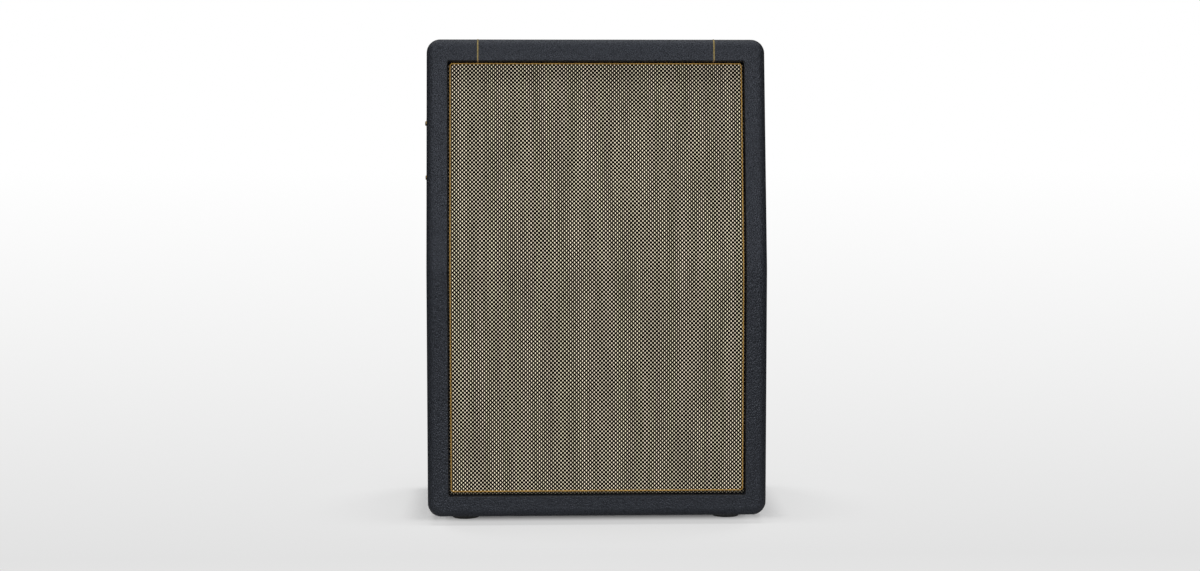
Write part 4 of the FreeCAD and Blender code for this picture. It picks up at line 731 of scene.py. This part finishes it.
upper_axis = frame["joints"][0]["axis"]
lean = math.atan2(upper_axis[2], -upper_axis[1])
cloth_low, cloth_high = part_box("grille_cloth")
bead_low, bead_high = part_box("grille_piping")
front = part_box("covering_wrap")[0].y
recess = cloth_low.y - front
bend = BEND_RADIUS - recess
bend_start = BEND_HEIGHT - BEND_RADIUS * math.tan(lean / 2)
bend_run = bend * lean
lower_run = bend_start - cloth_low.z
corner_drop = (recess + EDGE_TURN) * math.sin(lean)
upper_end = (cloth_high.z - BEND_HEIGHT - EDGE_TURN + corner_drop) / math.cos(lean) + EDGE_TURN
upper_run = upper_end - BEND_RADIUS * math.tan(lean / 2)
cloth_width = cloth_high.x - cloth_low.x
cloth_height = lower_run + bend_run + upper_run
thread_x = cloth_width / CLOTH_COLUMNS
thread_y = cloth_height / CLOTH_ROWS
flat_columns = CLOTH_COLUMNS + 2 * TURNED_THREADS
flat_rows = CLOTH_ROWS + 2 * TURNED_THREADS
flat_width = flat_columns * thread_x
flat_length = flat_rows * thread_y


def front_line(run):
    """Point and inward direction of the cloth's front at a way up from its lower edge."""
    turn = min(max((run - lower_run) / bend, 0.0), lean)
    past = max(run - lower_run - bend_run, 0.0)
    y = cloth_low.y + bend * (1 - math.cos(turn)) + past * math.sin(lean)
    z = cloth_low.z + min(run, lower_run) + bend * math.sin(turn) + past * math.cos(lean)
    return Vector((0, y, z)), Vector((0, math.cos(turn), -math.sin(turn)))


def beyond(value, low, high):
    """How far a value lies outside a range, with its sign."""
    return min(value - low, 0.0) + max(value - high, 0.0)


def laid_point(across, along, rise):
    """Where a point of the flat cloth lies once it is stretched over the frame's rounded edges."""
    side = cloth_width / 2 - EDGE_TURN
    over_x = beyond(across, -side, side)
    over_z = beyond(along, EDGE_TURN, cloth_height - EDGE_TURN)
    over = math.hypot(over_x, over_z)
    angle = min(over / EDGE_TURN, math.pi / 2)
    reach = EDGE_TURN * math.sin(angle)
    depth = EDGE_TURN * (1 - math.cos(angle)) + max(over - EDGE_TURN * math.pi / 2, 0.0)
    out = Vector((over_x, 0, over_z)) / over if over > 0 else Vector((0, 0, 0))
    base, inward = front_line(along - over_z)
    up = Vector((0, -inward.z, inward.y))
    outward = Vector((out.x, 0, 0)) + up * out.z
    spot = base + Vector((across - over_x, 0, 0)) + outward * reach + inward * depth
    facing = -inward * math.cos(angle) + outward * math.sin(angle)
    return spot + facing * rise, over


bpy.ops.object.select_all(action="DESELECT")
bpy.ops.mesh.primitive_grid_add(x_subdivisions=flat_columns, y_subdivisions=flat_rows, size=1)
cloth = bpy.context.object
cloth.name = "stretched_cloth"
overs = []
for vertex in cloth.data.vertices:
    column = round((vertex.co.x + 0.5) * flat_columns)
    row = round((vertex.co.y + 0.5) * flat_rows)
    up_float = (column + row) % 2 == 0
    across = vertex.co.x * flat_width
    along = (vertex.co.y + 0.5) * flat_length - TURNED_THREADS * thread_y
    vertex.co, over = laid_point(across, along, 0 if up_float else -YARN_DIP)
    overs.append(over)
trim = (TURNED_THREADS + 0.5) * max(thread_x, thread_y)
bpy.ops.object.mode_set(mode="EDIT")
bpy.ops.mesh.select_mode(type="VERT")
bpy.ops.mesh.select_all(action="DESELECT")
weave_mesh = bmesh.from_edit_mesh(cloth.data)
for vertex, over in zip(weave_mesh.verts, overs):
    vertex.select_set(over > trim)
bmesh.update_edit_mesh(cloth.data)
bpy.ops.mesh.delete(type="VERT")
bpy.ops.object.mode_set(mode="OBJECT")
bpy.ops.object.shade_smooth()
yarn = cloth.modifiers.new("yarn", "SOLIDIFY")
yarn.thickness = YARN_THICKNESS
yarn.offset = -1
bpy.ops.object.modifier_apply(modifier=yarn.name)
hems = (
    TURNED_THREADS + (bead_low.x + BEAD_MIDDLE - cloth_low.x) / thread_x,
    TURNED_THREADS + (bead_low.z + BEAD_MIDDLE - cloth_low.z) / thread_y,
    TURNED_THREADS + (cloth_high.z - bead_high.z + BEAD_MIDDLE) / thread_y,
)
cloth.data.materials.append(weave_finish("grille_weave", flat_columns, flat_rows, hems))
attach(cloth, "cabinet")
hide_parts("grille_cloth")
bead_gold = piping_finish("gold_piping", (0.58, 0.35, 0.08, 1), (0.17, 0.09, 0.025, 1))
dress(bead_gold, "grille_piping")
dress(painted_ply, "grille_frame")

# Studio floor: a wide pale painted floor that takes the lamps' shade close to the cabinet. Further
# out it glows, dimmest along a line in front of the cabinet, until it meets the white surround.
WHITE = (1, 1, 1, 1)
FLOOR_RADIUS = 40
SHADE_HALF_WIDTH = 0.255
SHADE_HALF_DEPTH = 0.112
DIM_LINE = -0.4
GLOW_TOP = 1.0374
GLOW_FALL = 0.804
GLOW_REACH = 2.91


def bounced(tree, ray):
    """1 for a ray that left a glossy or a clear face."""
    return calc(tree, "MAXIMUM", ray["Is Glossy Ray"], ray["Is Transmission Ray"])


def outside_strip(tree, value, half):
    """How far a value lies outside a strip about zero."""
    return calc(tree, "MAXIMUM", calc(tree, "SUBTRACT", calc(tree, "ABSOLUTE", value), half), 0.0)


scene = bpy.context.scene
scene.view_settings.view_transform = "Standard"
bpy.ops.object.select_all(action="DESELECT")
bpy.ops.mesh.primitive_circle_add(vertices=128, radius=FLOOR_RADIUS, fill_type="NGON")
floor = bpy.context.object
floor.name = "floor"
floor_paint, tree, shader = new_finish("floor_paint", {"Roughness": 0.9, "Specular IOR Level": 0.1})
ray = add(tree, "LightPath").outputs
tone, _ = mottle(tree, scale=3.0)
paint = mixed(tree, calc(tree, "MULTIPLY", tone, 0.4), (0.79, 0.79, 0.79, 1), (0.75, 0.75, 0.75, 1))
connect(tree, base_color=mixed(tree, ray["Is Diffuse Ray"], paint, (0.2, 0.2, 0.2, 1)))
place = add(tree, "TexCoord").outputs["Object"]
away = add(tree, "VectorMath", {0: place}, operation="LENGTH").outputs["Value"]
spot = add(tree, "SeparateXYZ", {0: place}).outputs
from_line = calc(tree, "ABSOLUTE", calc(tree, "SUBTRACT", spot["Y"], DIM_LINE))
fall = calc(tree, "DIVIDE", -GLOW_FALL, calc(tree, "ADD", from_line, GLOW_REACH))
far_glow = eased(tree, away, 6.0, 26.0, 0.7, 1.0)
level = calc(tree, "MAXIMUM", calc(tree, "ADD", fall, GLOW_TOP), far_glow)
mirrored = eased(tree, away, 0.5, 3.0, 0.18, 0.08)
seen = calc(tree, "MULTIPLY_ADD", bounced(tree, ray), mirrored, ray["Is Camera Ray"])
level = calc(tree, "MULTIPLY", seen, calc(tree, "MINIMUM", level, 1.0))
glow = add(tree, "Emission", {"Color": WHITE, "Strength": level})
out_x = calc(tree, "POWER", outside_strip(tree, spot["X"], SHADE_HALF_WIDTH), 2.0)
out_y = calc(tree, "POWER", outside_strip(tree, spot["Y"], SHADE_HALF_DEPTH), 2.0)
clear = calc(tree, "SQRT", calc(tree, "ADD", out_x, out_y))
near_share = eased(tree, clear, 0.0, 0.045, 0.095, 0.72)
far_share = eased(tree, clear, 0.03, 0.24, 0.0, 0.28)
share = calc(tree, "ADD", near_share, far_share)
blend = add(tree, "MixShader", {0: share, 1: shader.outputs[0], 2: glow.outputs[0]})
tree.links.new(blend.outputs[0], tree.nodes["Material Output"].inputs["Surface"])
floor_paint.cycles.emission_sampling = "NONE"
floor.data.materials.append(floor_paint)

# Studio surround: plain white behind everything. Matt faces take only a little light from it, and
# glossy faces mirror a pale wall in front, a dimmer one behind and a pale ceiling.
AMBIENT = 0.06
FRONT_WALL = (0, -0.978, 0.208)
world = bpy.data.worlds.new("studio")
scene.world = world
world.use_nodes = True
world.cycles.sampling_method = "NONE"
tree = world.node_tree
ambient = tree.nodes["Background"]
ambient.inputs["Color"].default_value = WHITE
ambient.inputs["Strength"].default_value = AMBIENT
direction = add(tree, "TexCoord").outputs["Generated"]
way = add(tree, "SeparateXYZ", {0: direction}).outputs
ahead = add(tree, "VectorMath", {0: direction, 1: FRONT_WALL}, operation="DOT_PRODUCT").outputs["Value"]
front_wall = eased(tree, ahead, 0.80, 0.992, 0.0, 2.0)
rear_wall = eased(tree, way["Y"], 0.86, 1.0, 0.0, 0.5)
ceiling = eased(tree, way["Z"], 0.45, 0.95, 0.0, 1.1)
wall_light = calc(tree, "ADD", calc(tree, "ADD", front_wall, rear_wall), ceiling)
walls = add(tree, "Background", {"Color": WHITE, "Strength": wall_light})
white = add(tree, "Background", {"Color": WHITE, "Strength": 1.0})
ray = add(tree, "LightPath").outputs
unseen = add(tree, "MixShader", {0: bounced(tree, ray), 1: ambient.outputs[0], 2: walls.outputs[0]})
behind = {0: ray["Is Camera Ray"], 1: unseen.outputs[0], 2: white.outputs[0]}
shown = add(tree, "MixShader", behind)
tree.links.new(shown.outputs[0], tree.nodes["World Output"].inputs["Surface"])

# Lamps: four soft boxes, in front of the cabinet, above it and at both rear corners. Neither the
# camera nor glossy faces show them.
CABINET_MIDDLE = (0, 0, 0.35)


def soft_lamp(name, place, target, width, height, power):
    """A rectangular soft lamp that faces a point."""
    bpy.ops.object.light_add(type="AREA", location=place)
    lamp = bpy.context.object
    lamp.name = name
    lamp.data.shape = "RECTANGLE"
    lamp.data.size = width
    lamp.data.size_y = height
    lamp.data.energy = power
    lamp.visible_glossy = False
    lamp.visible_camera = False
    lamp.rotation_euler = (Vector(target) - Vector(place)).to_track_quat("-Z", "Y").to_euler()


soft_lamp("front_softbox", (-0.1, -2.3, 0.28), CABINET_MIDDLE, width=2.0, height=0.5, power=57)
soft_lamp("upper_softbox", (0, -0.5, 3.0), (0, -0.1, 0.4), width=2.4, height=0.8, power=54)
for side, x in (("left", -2.5), ("right", 2.5)):
    soft_lamp(f"rear_{side}_softbox", (x, 2.6, 1.4), CABINET_MIDDLE, width=2.0, height=1.8, power=130)

# Camera: about three metres in front of the cabinet, slightly to its left and looking a little down.
# Its place, angles and lens were fitted to the photographed outline.
CAMERA_PLACE = (-0.1070, -3.3131, 0.6117)
CAMERA_YAW = math.radians(2.026)
CAMERA_PITCH = math.radians(4.695)
CAMERA_LENS = 64.5
SENSOR_WIDTH = 36
bpy.ops.object.camera_add(
    location=CAMERA_PLACE, rotation=(math.pi / 2 - CAMERA_PITCH, 0, -CAMERA_YAW)
)
camera = bpy.context.object
camera.data.sensor_fit = "HORIZONTAL"
camera.data.sensor_width = SENSOR_WIDTH
camera.data.lens = CAMERA_LENS
scene.camera = camera
